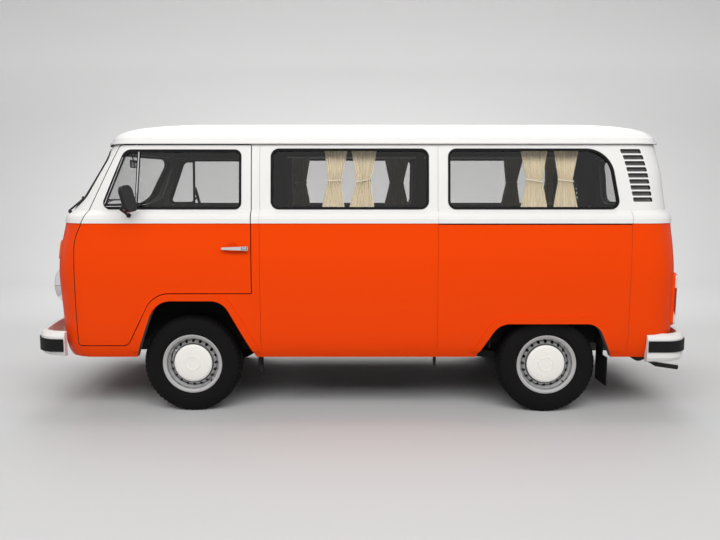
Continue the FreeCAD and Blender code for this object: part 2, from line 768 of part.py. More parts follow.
# Bumpers: reach of the blade's face, half width, and the rubber strip on it
bumper_face = bumper_reach - 8.0
bumper_half = 880.0
bumper_sheet = 44.0
bumper_roll = 32.0
bumper_bow = 4200.0
bumper_corner = 172.0
strip_proud = 8.0
strip_gap = 0.8
bumper_clearance = 7.0
bumper_plan = (bumper_bow, bumper_corner, bumper_corner)
front_bumper_z = (404.0, 570.0)
rear_bumper_z = (362.0, 552.0)
front_bumper_end = -1968.0
rear_bumper_end = 1890.0
front_strip_z = (438.0, 522.0)
rear_strip_z = (434.0, 508.0)
strip_end = 6.0


def bumper_band(z0, z1, proud, depth, edge):
    """Bar bent round both ends of the van, its long edges rolled in by edge."""
    rows = [(z0, edge), (z0 + edge * 0.3, edge * 0.3), (z0 + edge, 0.0), (z1 - edge, 0.0),
            (z1 - edge * 0.3, edge * 0.3), (z1, edge)]
    if not edge:
        rows = [(z0, 0.0), (z1, 0.0)]
    outer = shell_solid([(z, -bumper_face - proud + e, bumper_face + proud - e,
                          bumper_half + proud - e, bumper_plan) for z, e in rows], 0.0, True)
    inner = shell_solid([(z, -bumper_face, bumper_face, bumper_half, bumper_plan)
                         for z in (z0 - 1, z1 + 1)], depth, True)
    return outer.cut(inner)


def bumper(z_range, end_x):
    """One bumper blade with two arms that reach back to the body."""
    z0, z1 = z_range
    sign = 1 if end_x > 0 else -1
    reach = sorted((end_x, sign * 2400.0))
    keep = box(reach[0], reach[1], -side_reach, side_reach, 200, 800)
    blade = bumper_band(z0, z1, 0.0, bumper_sheet, bumper_roll).common(keep)
    blade = blade.cut(lower_solid(-bumper_clearance))
    arm_x = sorted((sign * 2040.0, sign * 2225.0))
    arm = box(arm_x[0], arm_x[1], 330, 380, z0 + 45, z0 + 110)
    arms = Part.makeCompound([arm, mirrored(arm)]).cut(lower_solid(-seat_gap))
    return blade.fuse(arms.Solids)


def bumper_strips():
    """Rubber strips along the faces of both bumpers."""
    front = bumper_band(*front_strip_z, strip_proud, -strip_gap, 0.0)
    rear = bumper_band(*rear_strip_z, strip_proud, -strip_gap, 0.0)
    front = front.common(box(-2400, front_bumper_end - strip_end, -side_reach, side_reach,
                             300, 700))
    rear = rear.common(box(rear_bumper_end + strip_end, 2400, -side_reach, side_reach, 300, 700))
    return Part.makeCompound([front, rear])


# Lamps and nose grille


def lamp_part(points):
    """Revolved headlamp piece on both sides; points are (forward of the face, radius)."""
    one = revolved(points, v(headlamp_face_x, headlamp_y, headlamp_z), v(-1, 0, 0))
    return both_sides(one)


def headlamp_bowls():
    return lamp_part([(-72, 0), (-72, 60), (-30, 103.7), (-0.3, 103.7), (-0.3, 84), (-30, 80),
                      (-62, 40), (-66, 0)])


def headlamp_rims():
    return lamp_part([(0, 84), (0, 110), (8, 110), (13, 104), (15, 94), (13, 87.3),
                      (4, 87.3), (4, 84)])


def headlamp_lenses():
    return lamp_part([(4.3, 0), (4.3, 87), (12, 87), (19, 80), (27, 62), (32, 34), (34, 0)])


def indicators():
    """Flashers above the headlamps, proud of the nose."""
    one = nose_prism(indicator_outline).common(lower_layer(-20.0, -seat_gap))
    return both_sides(one)


def tail_lamps():
    """Tall lenses on the raised pods at the rear corners."""
    one = tail_prism(tail_lamp_outline).common(lower_layer(-lamp_lens_proud,
                                                           -lamp_pod - seat_gap))
    return both_sides(one)


def nose_grille():
    """Horizontal bars of the fresh air intake, joined by uprights at the back."""
    frame = nose_prism(grille_outline, 1.0).common(lower_layer(2.0, grille_depth - seat_gap))
    z0 = grille_outline[0][1] + 8
    slot = (grille_outline[2][1] - z0 - 8) / grille_slats
    slots = [box(-2300, -2000, -375, 375, z0 + i * slot, z0 + (i + 0.55) * slot)
             for i in range(grille_slats)]
    front = lower_solid(2.0).cut(lower_solid(grille_depth - 4.0))
    return frame.cut([s.common(front) for s in slots])


# Interior
seat_pan_z = front_house_z + 0.3


def inside_upper(shape):
    return shape.common(upper_solid(wall + seat_gap))


column_top = v(-1600, -400, 1235)
column_lean = v(-0.36, 0, -0.933)
column_radius = 20.0
column_gap = 5.0
steering_radius = 198.0
steering_grip = 11.0
steering_hub = (34.0, 30.0)
dash_x = (-2060.0, -1800.0)
dash_half = 700.0
dash_z = (1120.0, 1330.0)
dash_leg_y = 640.0
cowl_x = (-1842.0, -1812.0)
cowl_y = (-560.0, -240.0)
cowl_z = (1180.0, 1345.0)


def dashboard():
    """Dash under the windscreen with a cowl for the dials."""
    base = box(*dash_x, -dash_half, dash_half, dash_z[0], belt_z)
    top = box(dash_x[0], dash_x[1] - 40, -dash_half, dash_half, belt_z, dash_z[1])
    legs = [box(dash_x[0], dash_x[0] + 100, y - 30, y + 30, floor_z + seat_gap, dash_z[0] + 10)
            for y in (-dash_leg_y, dash_leg_y)]
    low_cowl = box(*cowl_x, *cowl_y, cowl_z[0], belt_z)
    high_cowl = box(*cowl_x, *cowl_y, belt_z, cowl_z[1])
    lower = inside_lower(fuse([base, low_cowl] + legs))
    upper = inside_upper(fuse([top, high_cowl]))
    column_room = tube(column_top, column_top + column_lean * 900, column_radius + column_gap)
    return lower.fuse(upper).cut(column_room)


def steering_wheel():
    """Wheel rim, spokes and column; it leans forward like the rest of the cab."""
    centre, lean = column_top, column_lean
    foot_z = floor_z + seat_gap
    reach = (centre.z - foot_z) / -lean.z
    rim = Part.makeTorus(steering_radius, steering_grip, centre, lean)
    hub = Part.makeCylinder(steering_hub[0], steering_hub[1], centre - lean * 4, lean)
    column = Part.makeCylinder(column_radius, reach + 40, centre, lean)
    column = column.cut(box(-2300, 0, -600, 0, 300, foot_z))
    spokes = []
    for angle in (20.0, 160.0, 270.0):
        a = math.radians(angle)
        across = v(-lean.z * math.sin(a), math.cos(a), lean.x * math.sin(a))
        root = centre + lean * 6
        spokes.append(tube(root, root + across * (steering_radius - 4), 9))
    return fuse([rim, hub, column] + spokes)


seat_y = 400.0
seat_box_x = (-1420.0, -960.0)
seat_box_half = 215.0
seat_box_height = 62.0
seat_front_x = -1460.0
seat_half = 240.0
seat_back_half = 230.0


def front_seats():
    """Two cab seats on boxes over the wheel houses."""
    box_top = seat_pan_z + seat_box_height
    seats = []
    for y in (-seat_y, seat_y):
        base = box(*seat_box_x, y - seat_box_half, y + seat_box_half, seat_pan_z, box_top)
        cushion = side_prism([(seat_front_x, box_top - seat_gap, 20),
                              (seat_box_x[1], box_top - seat_gap, 20), (seat_box_x[1], 955, 40),
                              (seat_front_x, 975, 45)], y - seat_half, y + seat_half)
        back = side_prism([(-1000, 925, 20), (-905, 925, 40), (-790, 1330, 36),
                           (-880, 1342, 36)], y - seat_back_half, y + seat_back_half)
        seats.append(fuse([base, cushion, back]))
    return Part.makeCompound(seats)


bench_x = (130.0, 638.0)
bench_half = 560.0
bench_box_z = 790.0
bench_seat_z = 930.0


def rear_bench():
    """Rear bench with its box and upright back against the engine bulkhead."""
    base = box(bench_x[0], deck_front_x - seat_gap, -bench_half, bench_half,
               floor_z + seat_gap, bench_box_z)
    cushion = side_prism([(bench_x[0] - 20, bench_box_z, 20), (bench_x[1], bench_box_z, 10),
                          (bench_x[1], bench_seat_z, 20),
                          (bench_x[0] - 20, bench_seat_z - 15, 45)], -bench_half, bench_half)
    foot_z = deck_z + seat_gap
    back = side_prism([(560, foot_z, 10), (680, foot_z, 20), (735, 1325, 40), (640, 1335, 40)],
                      -bench_half, bench_half)
    return fuse([base, cushion, back])


cabinet_x = (-600.0, 60.0)
cabinet_front_y = -430.0
cabinet_top_z = 1180.0


def cabinet():
    """Low cupboard along the left wall behind the driver."""
    body = box(*cabinet_x, -side_reach, cabinet_front_y, floor_z + seat_gap, cabinet_top_z)
    return inside_lower(body)


curtain_top_z = 1772.0
curtain_bottom_z = 1372.0
curtain_depth = (70.0, 92.0)
curtain_tie_z = 1575.0
curtain_draw = 0.14
curtain_rail_x = [(-640.0, 470.0), (540.0, 1690.0)]
curtain_rail_height = 16.0
left_curtains = [(-255.0, -98.0), (-73.0, 99.0), (1065.0, 1250.0), (1287.0, 1455.0)]
right_curtains = [(-601.0, -467.0), (231.0, 441.0), (1267.0, 1437.0), (1580.0, 1690.0)]


def curtain_layer():
    return upper_layer(curtain_depth[0], curtain_depth[1])


def curtains():
    """Gathered curtains on both sides, drawn in a little where they are tied."""
    layer = curtain_layer()
    pieces = []
    for spans, prism_of in ((left_curtains, left_prism), (right_curtains, right_prism)):
        for x0, x1 in spans:
            waist = curtain_draw * (x1 - x0)
            corners = [(x0, curtain_bottom_z, 0), (x1, curtain_bottom_z, 0),
                       (x1 - waist, curtain_tie_z, 60), (x1, curtain_top_z, 0),
                       (x0, curtain_top_z, 0), (x0 + waist, curtain_tie_z, 60)]
            pieces += prism_of(corners).common(layer).Solids
    return Part.makeCompound(pieces)


def curtain_rails():
    """Rails above the side windows, screwed to the inner wall."""
    layer = upper_layer(wall + seat_gap, curtain_depth[1])
    pieces = []
    for prism_of in (left_prism, right_prism):
        for x0, x1 in curtain_rail_x:
            corners = [(x0, curtain_top_z + seat_gap, 0), (x1, curtain_top_z + seat_gap, 0),
                       (x1, curtain_top_z + curtain_rail_height, 0),
                       (x0, curtain_top_z + curtain_rail_height, 0)]
            pieces += prism_of(corners).common(layer).Solids
    return Part.makeCompound(pieces)


# Exhaust, flaps and fittings
pipe_radius = 16.0
pipe_y = -560.0
silencer_end = v(2060, 330, 300)
silencer_radius = 62.0


def exhaust():
    """Silencer behind the engine and the tail pipe that runs out under the left corner."""
    x, y, z = silencer_end
    silencer = tube(v(x, -y, z), silencer_end, silencer_radius)
    bends = [v(1810, -engine_half, 360), v(1810, pipe_y, 360), v(1952, pipe_y, 356),
             v(2092, pipe_y, 272), v(2243, pipe_y, 250)]
    pieces = [silencer, tube(v(x, 10 - y, z), v(x + 6, pipe_y, z - 12), pipe_radius - 1)]
    for start, end in zip(bends, bends[1:]):
        pieces.append(tube(start, end, pipe_radius))
    pieces += [Part.makeSphere(pipe_radius, bend) for bend in bends[1:-1]]
    engine_room = box(engine_x[0], engine_x[1] + seat_gap, -engine_half - seat_gap,
                      engine_half + seat_gap, engine_z[0] - 30, engine_z[1])
    return fuse(pieces).cut(engine_room)


flap_y = (620.0, 832.0)
flap_tongue_y = 745.0
flap_thickness = 6.0
flap_z = (190.0, sill_z - 13.0)


def mud_flaps():
    """Thin flaps behind the rear wheels, hung from the wheel houses."""
    x0 = rear_house_x[1] + seat_gap
    plate = box(x0, x0 + flap_thickness, flap_y[0], flap_y[1], flap_z[0], flap_z[1])
    tongue = box(x0, x0 + flap_thickness, flap_y[0], flap_tongue_y, flap_z[1] - 1, floor_z)
    return both_sides(plate.fuse(tongue))


handle_x = (-916.0, -743.0)
handle_z = 1123.0
dish_x = -846.0
dish_radius = 47.0
dish_depth = 12.0
dish_skin_y = -858.0


def handle_dish():
    """Ball that leaves a shallow finger dish behind the door handle."""
    ball = (dish_radius ** 2 + dish_depth ** 2) / (2 * dish_depth)
    return Part.makeSphere(ball, v(dish_x, dish_skin_y + dish_depth - ball, handle_z))


def door_handle():
    """Tapered grip on two feet; the thick end holds the lock."""
    x0, x1 = handle_x
    grip = left_prism([(x0, handle_z - 7, 6), (x1 - 50, handle_z - 12, 0), (x1, handle_z - 15, 9),
                       (x1, handle_z + 15, 9), (x1 - 50, handle_z + 12, 0),
                       (x0, handle_z + 7, 6)]).common(lower_layer(-34.0, -20.0))
    feet = []
    for foot_x0, foot_x1, half in ((x0 + 2, x0 + 26, 5), (x1 - 38, x1 - 4, 11)):
        foot = left_prism([(foot_x0, handle_z - half, 4), (foot_x1, handle_z - half, 4),
                           (foot_x1, handle_z + half, 4), (foot_x0, handle_z + half, 4)])
        feet.append(foot.common(lower_layer(-28.0, -seat_gap)))
    return fuse([grip] + feet)


mirror_foot = v(-1522, -846, 1337)
mirror_elbow = v(-1546, -925, 1378)
mirror_centre = v(-1490, -948, 1446)
mirror_size = (128.0, 172.0, 24.0)
mirror_lean = 15.0
mirror_turn = -14.0
mirror_corner = 44.0
mirror_ball = 16.0
mirror_arm = 8.0


def door_mirror():
    """Round-cornered mirror on a bent arm with a ball foot on the waist of the door."""
    wide, tall, deep = mirror_size
    y, z = mirror_centre.y, mirror_centre.z
    corners = [(y - wide / 2, z - tall / 2, mirror_corner),
               (y + wide / 2, z - tall / 2, mirror_corner),
               (y + wide / 2, z + tall / 2, mirror_corner),
               (y - wide / 2, z + tall / 2, mirror_corner)]
    shell = front_prism(corners, mirror_centre.x - deep / 2, mirror_centre.x + deep / 2)
    shell.rotate(mirror_centre, v(0, 0, 1), mirror_turn)
    shell.rotate(mirror_centre, v(0, 1, 0), -mirror_lean)
    arm = [Part.makeSphere(mirror_ball, mirror_foot),
           tube(mirror_foot, mirror_elbow, mirror_arm),
           Part.makeSphere(mirror_arm, mirror_elbow),
           tube(mirror_elbow, mirror_centre, mirror_arm)]
    arm = fuse(arm).cut(upper_solid(-seat_gap))
    return arm.fuse(shell)


door_vent = [(-1722.0, window_bottom_z, 45.0), (-1471.0, window_bottom_z, 4.0),
             (-1452.0, window_top_z - 6, 4.0), (-1566.0, window_top_z - 6, 70.0)]
vent_frame = 9.0
vent_bar = 17.0
vent_bar_x = -1494.0
vent_bar_lean = 0.049


def door_vent_frame():
    """Bright frame of the vent pane: a thin edge on three sides and a stout rear bar."""
    edge = seal_width + seat_gap
    ring = left_prism(door_vent, edge).cut(left_prism(door_vent, edge + vent_frame))
    bar_bottom = window_bottom_z + edge
    bar_top = window_top_z - 6 - edge
    lean = (bar_top - bar_bottom) * vent_bar_lean
    bar = left_prism([(vent_bar_x, bar_bottom, 0), (vent_bar_x + vent_bar, bar_bottom, 0),
                      (vent_bar_x + vent_bar + lean, bar_top, 0),
                      (vent_bar_x + lean, bar_top, 0)])
    return ring.fuse(bar).common(upper_layer(-2.0, glass_depth - seat_gap))


def door_parts():
    """Pieces of the left cab door by the first word of their name."""
    panel = closure_panel(left_prism, door_outline, True).cut(left_prism(door_window))
    panel = panel.cut(handle_dish())
    glass = pane(left_prism, door_window)
    seal = window_seal(left_prism, door_window, glass)
    return {"door": panel, "door_glass": glass, "door_seal": seal,
            "door_vent": door_vent_frame(), "door_handle": door_handle(),
            "door_mirror": door_mirror()}


# Build every piece
left_window = pane(left_prism, front_side_window)
quarter = pane(left_prism, rear_side_window)
right_window = mirrored(left_window)
panes = [left_window, quarter, mirrored(quarter), right_window]
windscreen = pane(nose_prism, windscreen_outline)
seals = [window_seal(left_prism, front_side_window, left_window),
         window_seal(left_prism, rear_side_window, quarter),
         window_seal(nose_prism, windscreen_outline, windscreen)]
seals += [mirrored(seals[0]), mirrored(seals[1])]
tail_glass = pane(tail_prism, tailgate_window)
tail_panel = closure_panel(tail_prism, tailgate_outline, True).cut(tail_prism(tailgate_window))
slider = closure_panel(right_prism, slider_outline, True).cut(
    mirrored(left_prism(front_side_window)))

parts["body_lower"] = body_lower()
parts["body_upper"] = body_upper()
parts["roof"] = roof()
parts["floor_pan"] = floor_pan()
parts["frame_rails"] = frame_rails()
parts["windscreen"] = windscreen
parts["side_glass"] = Part.makeCompound(panes)
parts["window_seals"] = Part.makeCompound(seals)
parts["sliding_door"] = slider
parts["front_bumper"] = bumper(front_bumper_z, front_bumper_end)
parts["rear_bumper"] = bumper(rear_bumper_z, rear_bumper_end)
parts["bumper_strips"] = bumper_strips()
parts["headlamp_bowls"] = headlamp_bowls()
parts["headlamp_rims"] = headlamp_rims()
parts["headlamp_lenses"] = headlamp_lenses()
parts["indicators"] = indicators()
parts["tail_lamps"] = tail_lamps()
parts["nose_grille"] = nose_grille()
parts["dashboard"] = dashboard()
parts["steering_wheel"] = steering_wheel()
parts["front_seats"] = front_seats()
parts["rear_bench"] = rear_bench()
parts["cabinet"] = cabinet()
parts["curtains"] = curtains()
parts["curtain_rails"] = curtain_rails()
parts["front_axle"] = front_axle()
parts["rear_axle"] = rear_axle()
parts["engine_transaxle"] = engine_transaxle()
parts["exhaust"] = exhaust()
parts["mud_flaps"] = mud_flaps()
for kind, shape in door_parts().items():
    parts[kind + "_left"] = shape
    parts[kind + "_right"] = mirrored(shape)
parts["tailgate"] = tail_panel
parts["tailgate_glass"] = tail_glass
parts["tailgate_seal"] = window_seal(tail_prism, tailgate_window, tail_glass)
parts["engine_lid"] = closure_panel(tail_prism, engine_lid_outline, False)
parts["knuckle_left"] = knuckle(-1)
parts["knuckle_right"] = knuckle(1)
for name, x, half_track, side in (("fl", front_axle_x, wheel_front_y, -1),
                                  ("fr", front_axle_x, wheel_front_y, 1),
                                  ("rl", rear_axle_x, wheel_rear_y, -1),
                                  ("rr", rear_axle_x, wheel_rear_y, 1)):
    rim, tyre, cap = wheel(x, side * half_track, side)
    parts["rim_" + name] = rim
    parts["tyre_" + name] = tyre
    parts["cap_" + name] = cap

os.makedirs("parts", exist_ok=True)
for name, shape in parts.items():
    shape.exportStep("parts/" + name + ".step")
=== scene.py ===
"""Looks of the camper van: paint, glass, rubber, chrome, curtains, seats and small trim.

Metres, +Z up, the van faces -X, its left side is -Y and the ground is at z = 0.
"""

import math
import random

import bmesh
import bpy
from mathutils import Matrix, Vector
from mathutils.bvhtree import BVHTree


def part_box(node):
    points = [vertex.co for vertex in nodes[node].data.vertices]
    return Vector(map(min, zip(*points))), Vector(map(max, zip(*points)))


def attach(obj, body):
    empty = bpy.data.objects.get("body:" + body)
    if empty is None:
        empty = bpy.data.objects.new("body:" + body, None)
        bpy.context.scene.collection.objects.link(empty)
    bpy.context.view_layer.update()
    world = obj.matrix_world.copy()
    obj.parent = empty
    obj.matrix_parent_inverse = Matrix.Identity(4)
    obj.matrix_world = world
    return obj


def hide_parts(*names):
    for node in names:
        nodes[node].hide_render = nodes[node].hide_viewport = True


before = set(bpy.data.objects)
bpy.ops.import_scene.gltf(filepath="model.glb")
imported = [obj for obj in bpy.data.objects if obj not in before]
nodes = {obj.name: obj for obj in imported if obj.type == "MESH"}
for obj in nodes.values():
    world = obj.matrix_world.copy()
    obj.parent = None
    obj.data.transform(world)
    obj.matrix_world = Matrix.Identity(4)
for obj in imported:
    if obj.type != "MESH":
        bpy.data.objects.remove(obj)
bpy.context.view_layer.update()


def box_middle(name):
    """Middle of the box round a solid piece."""
    low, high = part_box(name)
    return (Vector(low) + Vector(high)) / 2


SIDES = (("left", -1.0), ("right", 1.0))
CORNERS = ("fl", "fr", "rl", "rr")
AXLE_X = {"f": box_middle("rim_fl").x, "r": box_middle("rim_rl").x}
AXLE_Z = box_middle("rim_fl").z
# Height at which orange meets white
BELT = 1.2855
# (height, half width) of the body's outside
SIDE_ROWS = [(0.388, 0.818), (0.470, 0.845), (0.660, 0.857), (0.860, 0.860), (1.080, 0.858),
             (1.285, 0.848), (1.286, 0.854), (1.333, 0.848), (1.347, 0.838), (1.368, 0.808),
             (1.617, 0.777), (1.812, 0.746)]
random.seed(7)


def side_half(z):
    """Half width of the body at a height."""
    for (z0, h0), (z1, h1) in zip(SIDE_ROWS, SIDE_ROWS[1:]):
        if z <= z1:
            return h0 + (h1 - h0) * (z - z0) / (z1 - z0)
    return SIDE_ROWS[-1][1]


def wheel_side(corner):
    """-1 for a wheel on the left, 1 for one on the right."""
    return -1.0 if corner[1] == "l" else 1.0


# Materials

COAT_ROUGH = 0.05
BUMP_HEIGHT = 0.001
BUMP_DETAIL = 3.0
ROUGH_SCALE = 6.0


def noise_value(tree, scale, detail=2.0):
    """Noise over the piece, from 0 to 1."""
    coords = tree.nodes.new("ShaderNodeTexCoord")
    noise = tree.nodes.new("ShaderNodeTexNoise")
    noise.inputs["Scale"].default_value = scale
    noise.inputs["Detail"].default_value = detail
    tree.links.new(coords.outputs["Object"], noise.inputs["Vector"])
    return noise.outputs["Fac"]


def material(name, colour, rough=0.5, metal=0.0, coat=0.0, bump=0.0, bump_scale=200.0,
             rough_spread=0.0, tint=0.0, tint_scale=3.0, specular=0.5, sheen=0.0):
    """Principled material with a noise that varies its roughness, colour and surface."""
    mat = bpy.data.materials.new(name)
    mat.use_nodes = True
    tree = mat.node_tree
    shader = tree.nodes["Principled BSDF"]
    colour = tuple(colour[:3]) + (1.0,)
    shader.inputs["Base Color"].default_value = colour
    shader.inputs["Roughness"].default_value = rough
    shader.inputs["Metallic"].default_value = metal
    shader.inputs["Coat Weight"].default_value = coat
    shader.inputs["Coat Roughness"].default_value = COAT_ROUGH
    shader.inputs["Sheen Weight"].default_value = sheen
    shader.inputs["Specular IOR Level"].default_value = specular
    if bump:
        relief = tree.nodes.new("ShaderNodeBump")
        relief.inputs["Strength"].default_value = bump
        relief.inputs["Distance"].default_value = BUMP_HEIGHT
        tree.links.new(noise_value(tree, bump_scale, BUMP_DETAIL), relief.inputs["Height"])
        tree.links.new(relief.outputs["Normal"], shader.inputs["Normal"])
    if rough_spread:
        span = tree.nodes.new("ShaderNodeMapRange")
        span.inputs["To Min"].default_value = rough - rough_spread
        span.inputs["To Max"].default_value = rough + rough_spread
        tree.links.new(noise_value(tree, ROUGH_SCALE), span.inputs["Value"])
        tree.links.new(span.outputs["Result"], shader.inputs["Roughness"])
    if tint:
        mix = tree.nodes.new("ShaderNodeMix")
        mix.data_type = "RGBA"
        mix.inputs["A"].default_value = colour
        mix.inputs["B"].default_value = tuple(c * (1 - tint) for c in colour[:3]) + (1.0,)
        tree.links.new(noise_value(tree, tint_scale), mix.inputs["Factor"])
        tree.links.new(mix.outputs["Result"], shader.inputs["Base Color"])
    return mat


def glass(name, clear_colour, rough=0.02, ior=1.6):
    """Thin pane: faces tint what is seen, light falls in freely, outer faces reflect."""
    mat = bpy.data.materials.new(name)
    mat.use_nodes = True
    tree = mat.node_tree
    clear = tree.nodes.new("ShaderNodeBsdfTransparent")
    path = tree.nodes.new("ShaderNodeLightPath")
    tint = tree.nodes.new("ShaderNodeMix")
    tint.data_type = "RGBA"
    tint.inputs["A"].default_value = clear_colour
    tint.inputs["B"].default_value = (1.0, 1.0, 1.0, 1.0)
    tree.links.new(path.outputs["Is Shadow Ray"], tint.inputs["Factor"])
    tree.links.new(tint.outputs["Result"], clear.inputs["Color"])
    gloss = tree.nodes.new("ShaderNodeBsdfGlossy")
    gloss.inputs["Roughness"].default_value = rough
    fresnel = tree.nodes.new("ShaderNodeFresnel")
    fresnel.inputs["IOR"].default_value = ior
    geometry = tree.nodes.new("ShaderNodeNewGeometry")
    front = tree.nodes.new("ShaderNodeMath")
    front.operation = "SUBTRACT"
    front.inputs[0].default_value = 1.0
    tree.links.new(geometry.outputs["Backfacing"], front.inputs[1])
    share = tree.nodes.new("ShaderNodeMath")
    share.operation = "MULTIPLY"
    tree.links.new(fresnel.outputs["Fac"], share.inputs[0])
    tree.links.new(front.outputs["Value"], share.inputs[1])
    mix = tree.nodes.new("ShaderNodeMixShader")
    tree.links.new(share.outputs["Value"], mix.inputs["Fac"])
    tree.links.new(clear.outputs["BSDF"], mix.inputs[1])
    tree.links.new(gloss.outputs["BSDF"], mix.inputs[2])
    tree.links.new(mix.outputs["Shader"], tree.nodes["Material Output"].inputs["Surface"])
    return mat


orange = material("orange_paint", (0.83, 0.055, 0.0003), 0.34, coat=0.02, bump=0.012,
                  bump_scale=900.0, rough_spread=0.03, specular=0.10)
white = material("white_paint", (0.78, 0.77, 0.75), 0.34, coat=0.05, bump=0.012,
                 bump_scale=900.0, rough_spread=0.03, specular=0.25)
lining = material("grey_lining", (0.11, 0.105, 0.095), 0.8, bump=0.2, bump_scale=500.0,
                  specular=0.3)
# Black for gaps and slots: painted shade where shadow falls between parts
gap_shade_black = material("gap_painted_shade", (0.006, 0.006, 0.006), 0.8, bump=0.05, specular=0.1)
seal_black = material("seal_rubber", (0.007, 0.007, 0.007), 0.5, bump=0.05, specular=0.22)
strip_black = material("strip_rubber", (0.008, 0.008, 0.008), 0.55, bump=0.1, specular=0.2)
under_black = material("underbody_paint", (0.012, 0.012, 0.013), 0.7, bump=0.3,
                       bump_scale=120.0, specular=0.3)
mat_rubber = material("floor_mat", (0.02, 0.02, 0.02), 0.8, bump=0.3, specular=0.3)
chrome = material("chrome", (0.80, 0.80, 0.81), 0.08, metal=1.0, rough_spread=0.02)
silver = material("wheel_silver", (0.60, 0.60, 0.60), 0.32, metal=0.7, bump=0.05,
                  rough_spread=0.04)
# Dark finish for a wheel's recesses: painted shade
wheel_shade_dark = material("wheel_painted_shade", (0.10, 0.10, 0.10), 0.5, metal=0.5, bump=0.05)
cap_white = material("cap_paint", (0.88, 0.87, 0.82), 0.32, coat=0.2, bump=0.01)
reflector = material("reflector", (0.8, 0.8, 0.82), 0.12, metal=1.0, bump=0.02)
amber = material("amber_lens", (0.80, 0.17, 0.006), 0.18, coat=0.4, bump=0.25, bump_scale=140.0)
red = material("red_lens", (0.30, 0.006, 0.006), 0.18, coat=0.4, bump=0.25, bump_scale=140.0)
pale_lens = material("pale_lens", (0.70, 0.66, 0.56), 0.22, coat=0.4, bump=0.2)
black_plastic = material("black_plastic", (0.012, 0.012, 0.012), 0.5, bump=0.1, specular=0.4)
vinyl = material("dash_vinyl", (0.014, 0.014, 0.014), 0.6, bump=0.3, bump_scale=350.0)
cloth = material("seat_cloth", (0.045, 0.040, 0.036), 0.9, bump=0.5, bump_scale=900.0,
                 tint=0.3, tint_scale=40.0, sheen=0.2)
wood = material("cupboard_wood", (0.13, 0.075, 0.04), 0.5, bump=0.1, tint=0.4, tint_scale=9.0)
# The cloth's own beige, set lighter than it is: partly painted light for the light that the
# curtains lack behind the glass
curtain_cloth = material("curtain_cloth", (0.97, 0.87, 0.68), 0.95, bump=0.3,
                         bump_scale=1500.0, tint=0.06, tint_scale=30.0, sheen=0.2, specular=0.1)
rail_metal = material("rail_metal", (0.5, 0.5, 0.5), 0.4, metal=0.8, bump=0.02)
axle_black = material("axle_steel", (0.012, 0.012, 0.013), 0.6, bump=0.3, specular=0.3)
engine_grey = material("engine_metal", (0.10, 0.10, 0.10), 0.6, metal=0.5, bump=0.4)
exhaust_black = material("exhaust_steel", (0.010, 0.010, 0.010), 0.6, metal=0.2, bump=0.3)
tyre_black = material("tyre_rubber", (0.006, 0.006, 0.006), 0.7, bump=0.2, bump_scale=300.0,
                      specular=0.16)
mirror_black = material("mirror_black", (0.009, 0.009, 0.009), 0.4, bump=0.05, specular=0.4)
mirror_face = material("mirror_face", (0.85, 0.85, 0.87), 0.03, metal=1.0, bump=0.001)
plate_white = material("blank_plate", (0.72, 0.72, 0.70), 0.4, bump=0.02)
mesh_grey = material("intake_mesh", (0.16, 0.155, 0.15), 0.6, bump=0.9, bump_scale=260.0,
                     tint=0.7, tint_scale=60.0)
pane_glass = glass("body_glass", (0.880, 0.882, 0.880, 1.0))
lamp_glass = glass("lamp_glass", (0.95, 0.95, 0.95, 1.0), 0.06)


# Finishes of the solid pieces


def finish_node(name, mat):
    """One finish all over a solid piece."""
    mesh = nodes[name].data
    mesh.materials.clear()
    mesh.materials.append(mat)


def smooth(obj, angle=28.0):
    """Smooth shading with sharp edges kept above an angle."""
    mesh = obj.data
    mesh.shade_smooth()
    mesh.set_sharp_from_angle(angle=math.radians(angle))


SHELLS = ("body_lower", "body_upper", "roof", "sliding_door", "door_left", "door_right",
          "tailgate", "engine_lid")
SHELL_MATERIALS = (orange, white, lining, gap_shade_black)
ORANGE, WHITE, LINING, GAP = range(4)
# A face that looks into a gap meets the other edge within this distance
GAP_REACH = 0.075
GAP_FACING = 0.2
CAST_OFFSET = 0.0001
# Where the walls can start, away from the middle of the van
SIDE_WALL_Y = 0.4
END_WALL_X = 1.4
CEILING_Z = 1.79
# Share of the normal by which a face of the inside points to the middle
INWARD_AT_SIDE = 0.35
INWARD_AT_END = 0.5
INWARD_AT_CEILING = 0.5
# Faces near an end that point further sideways belong to a side wall
SIDEWAYS_AT_END = 0.7


def joined_tree(names):
    """One search tree over several solid pieces."""
    verts, faces = [], []
    for name in names:
        obj = nodes[name]
        start = len(verts)
        verts += [obj.matrix_world @ v.co for v in obj.data.vertices]
        faces += [[start + i for i in f.vertices] for f in obj.data.polygons]
    return BVHTree.FromPolygons(verts, faces)


closure_tree = joined_tree([name for name in SHELLS if name != "roof"])
outer_tree = joined_tree(("body_lower", "body_upper", "door_left", "door_right", "tailgate",
                          "engine_lid", "sliding_door", "windscreen"))


def looks_inward(c, n):
    """True for a face of the inside, from its centre and normal."""
    if abs(c.y) > SIDE_WALL_Y and n.y * c.y < -INWARD_AT_SIDE * abs(c.y):
        return True
    if abs(c.x) > END_WALL_X and abs(n.y) < SIDEWAYS_AT_END:
        if n.x * c.x < -INWARD_AT_END * abs(c.x):
            return True
    return c.z > CEILING_Z and n.z < -INWARD_AT_CEILING


def looks_into_gap(c, n):
    """True for a face that has the other edge of a gap close in front of it."""
    hit, normal, _, _ = closure_tree.ray_cast(c + n * CAST_OFFSET, n, GAP_REACH)
    return hit is not None and normal.dot(n) < -GAP_FACING


def paint_shell(name):
    """Outer faces in the body colours, faces that look into a gap in black as painted shade
    between the parts, inner faces in the lining.
    """
    mesh = nodes[name].data
    mesh.materials.clear()
    for mat in SHELL_MATERIALS:
        mesh.materials.append(mat)
    for face in mesh.polygons:
        c, n = face.center, face.normal
        if looks_inward(c, n):
            face.material_index = LINING
        # Black on faces that look into a gap is painted shade, standing in for the shadow
        # between the parts
        elif name != "roof" and looks_into_gap(c, n):
            face.material_index = GAP
        else:
            face.material_index = WHITE if c.z > BELT else ORANGE


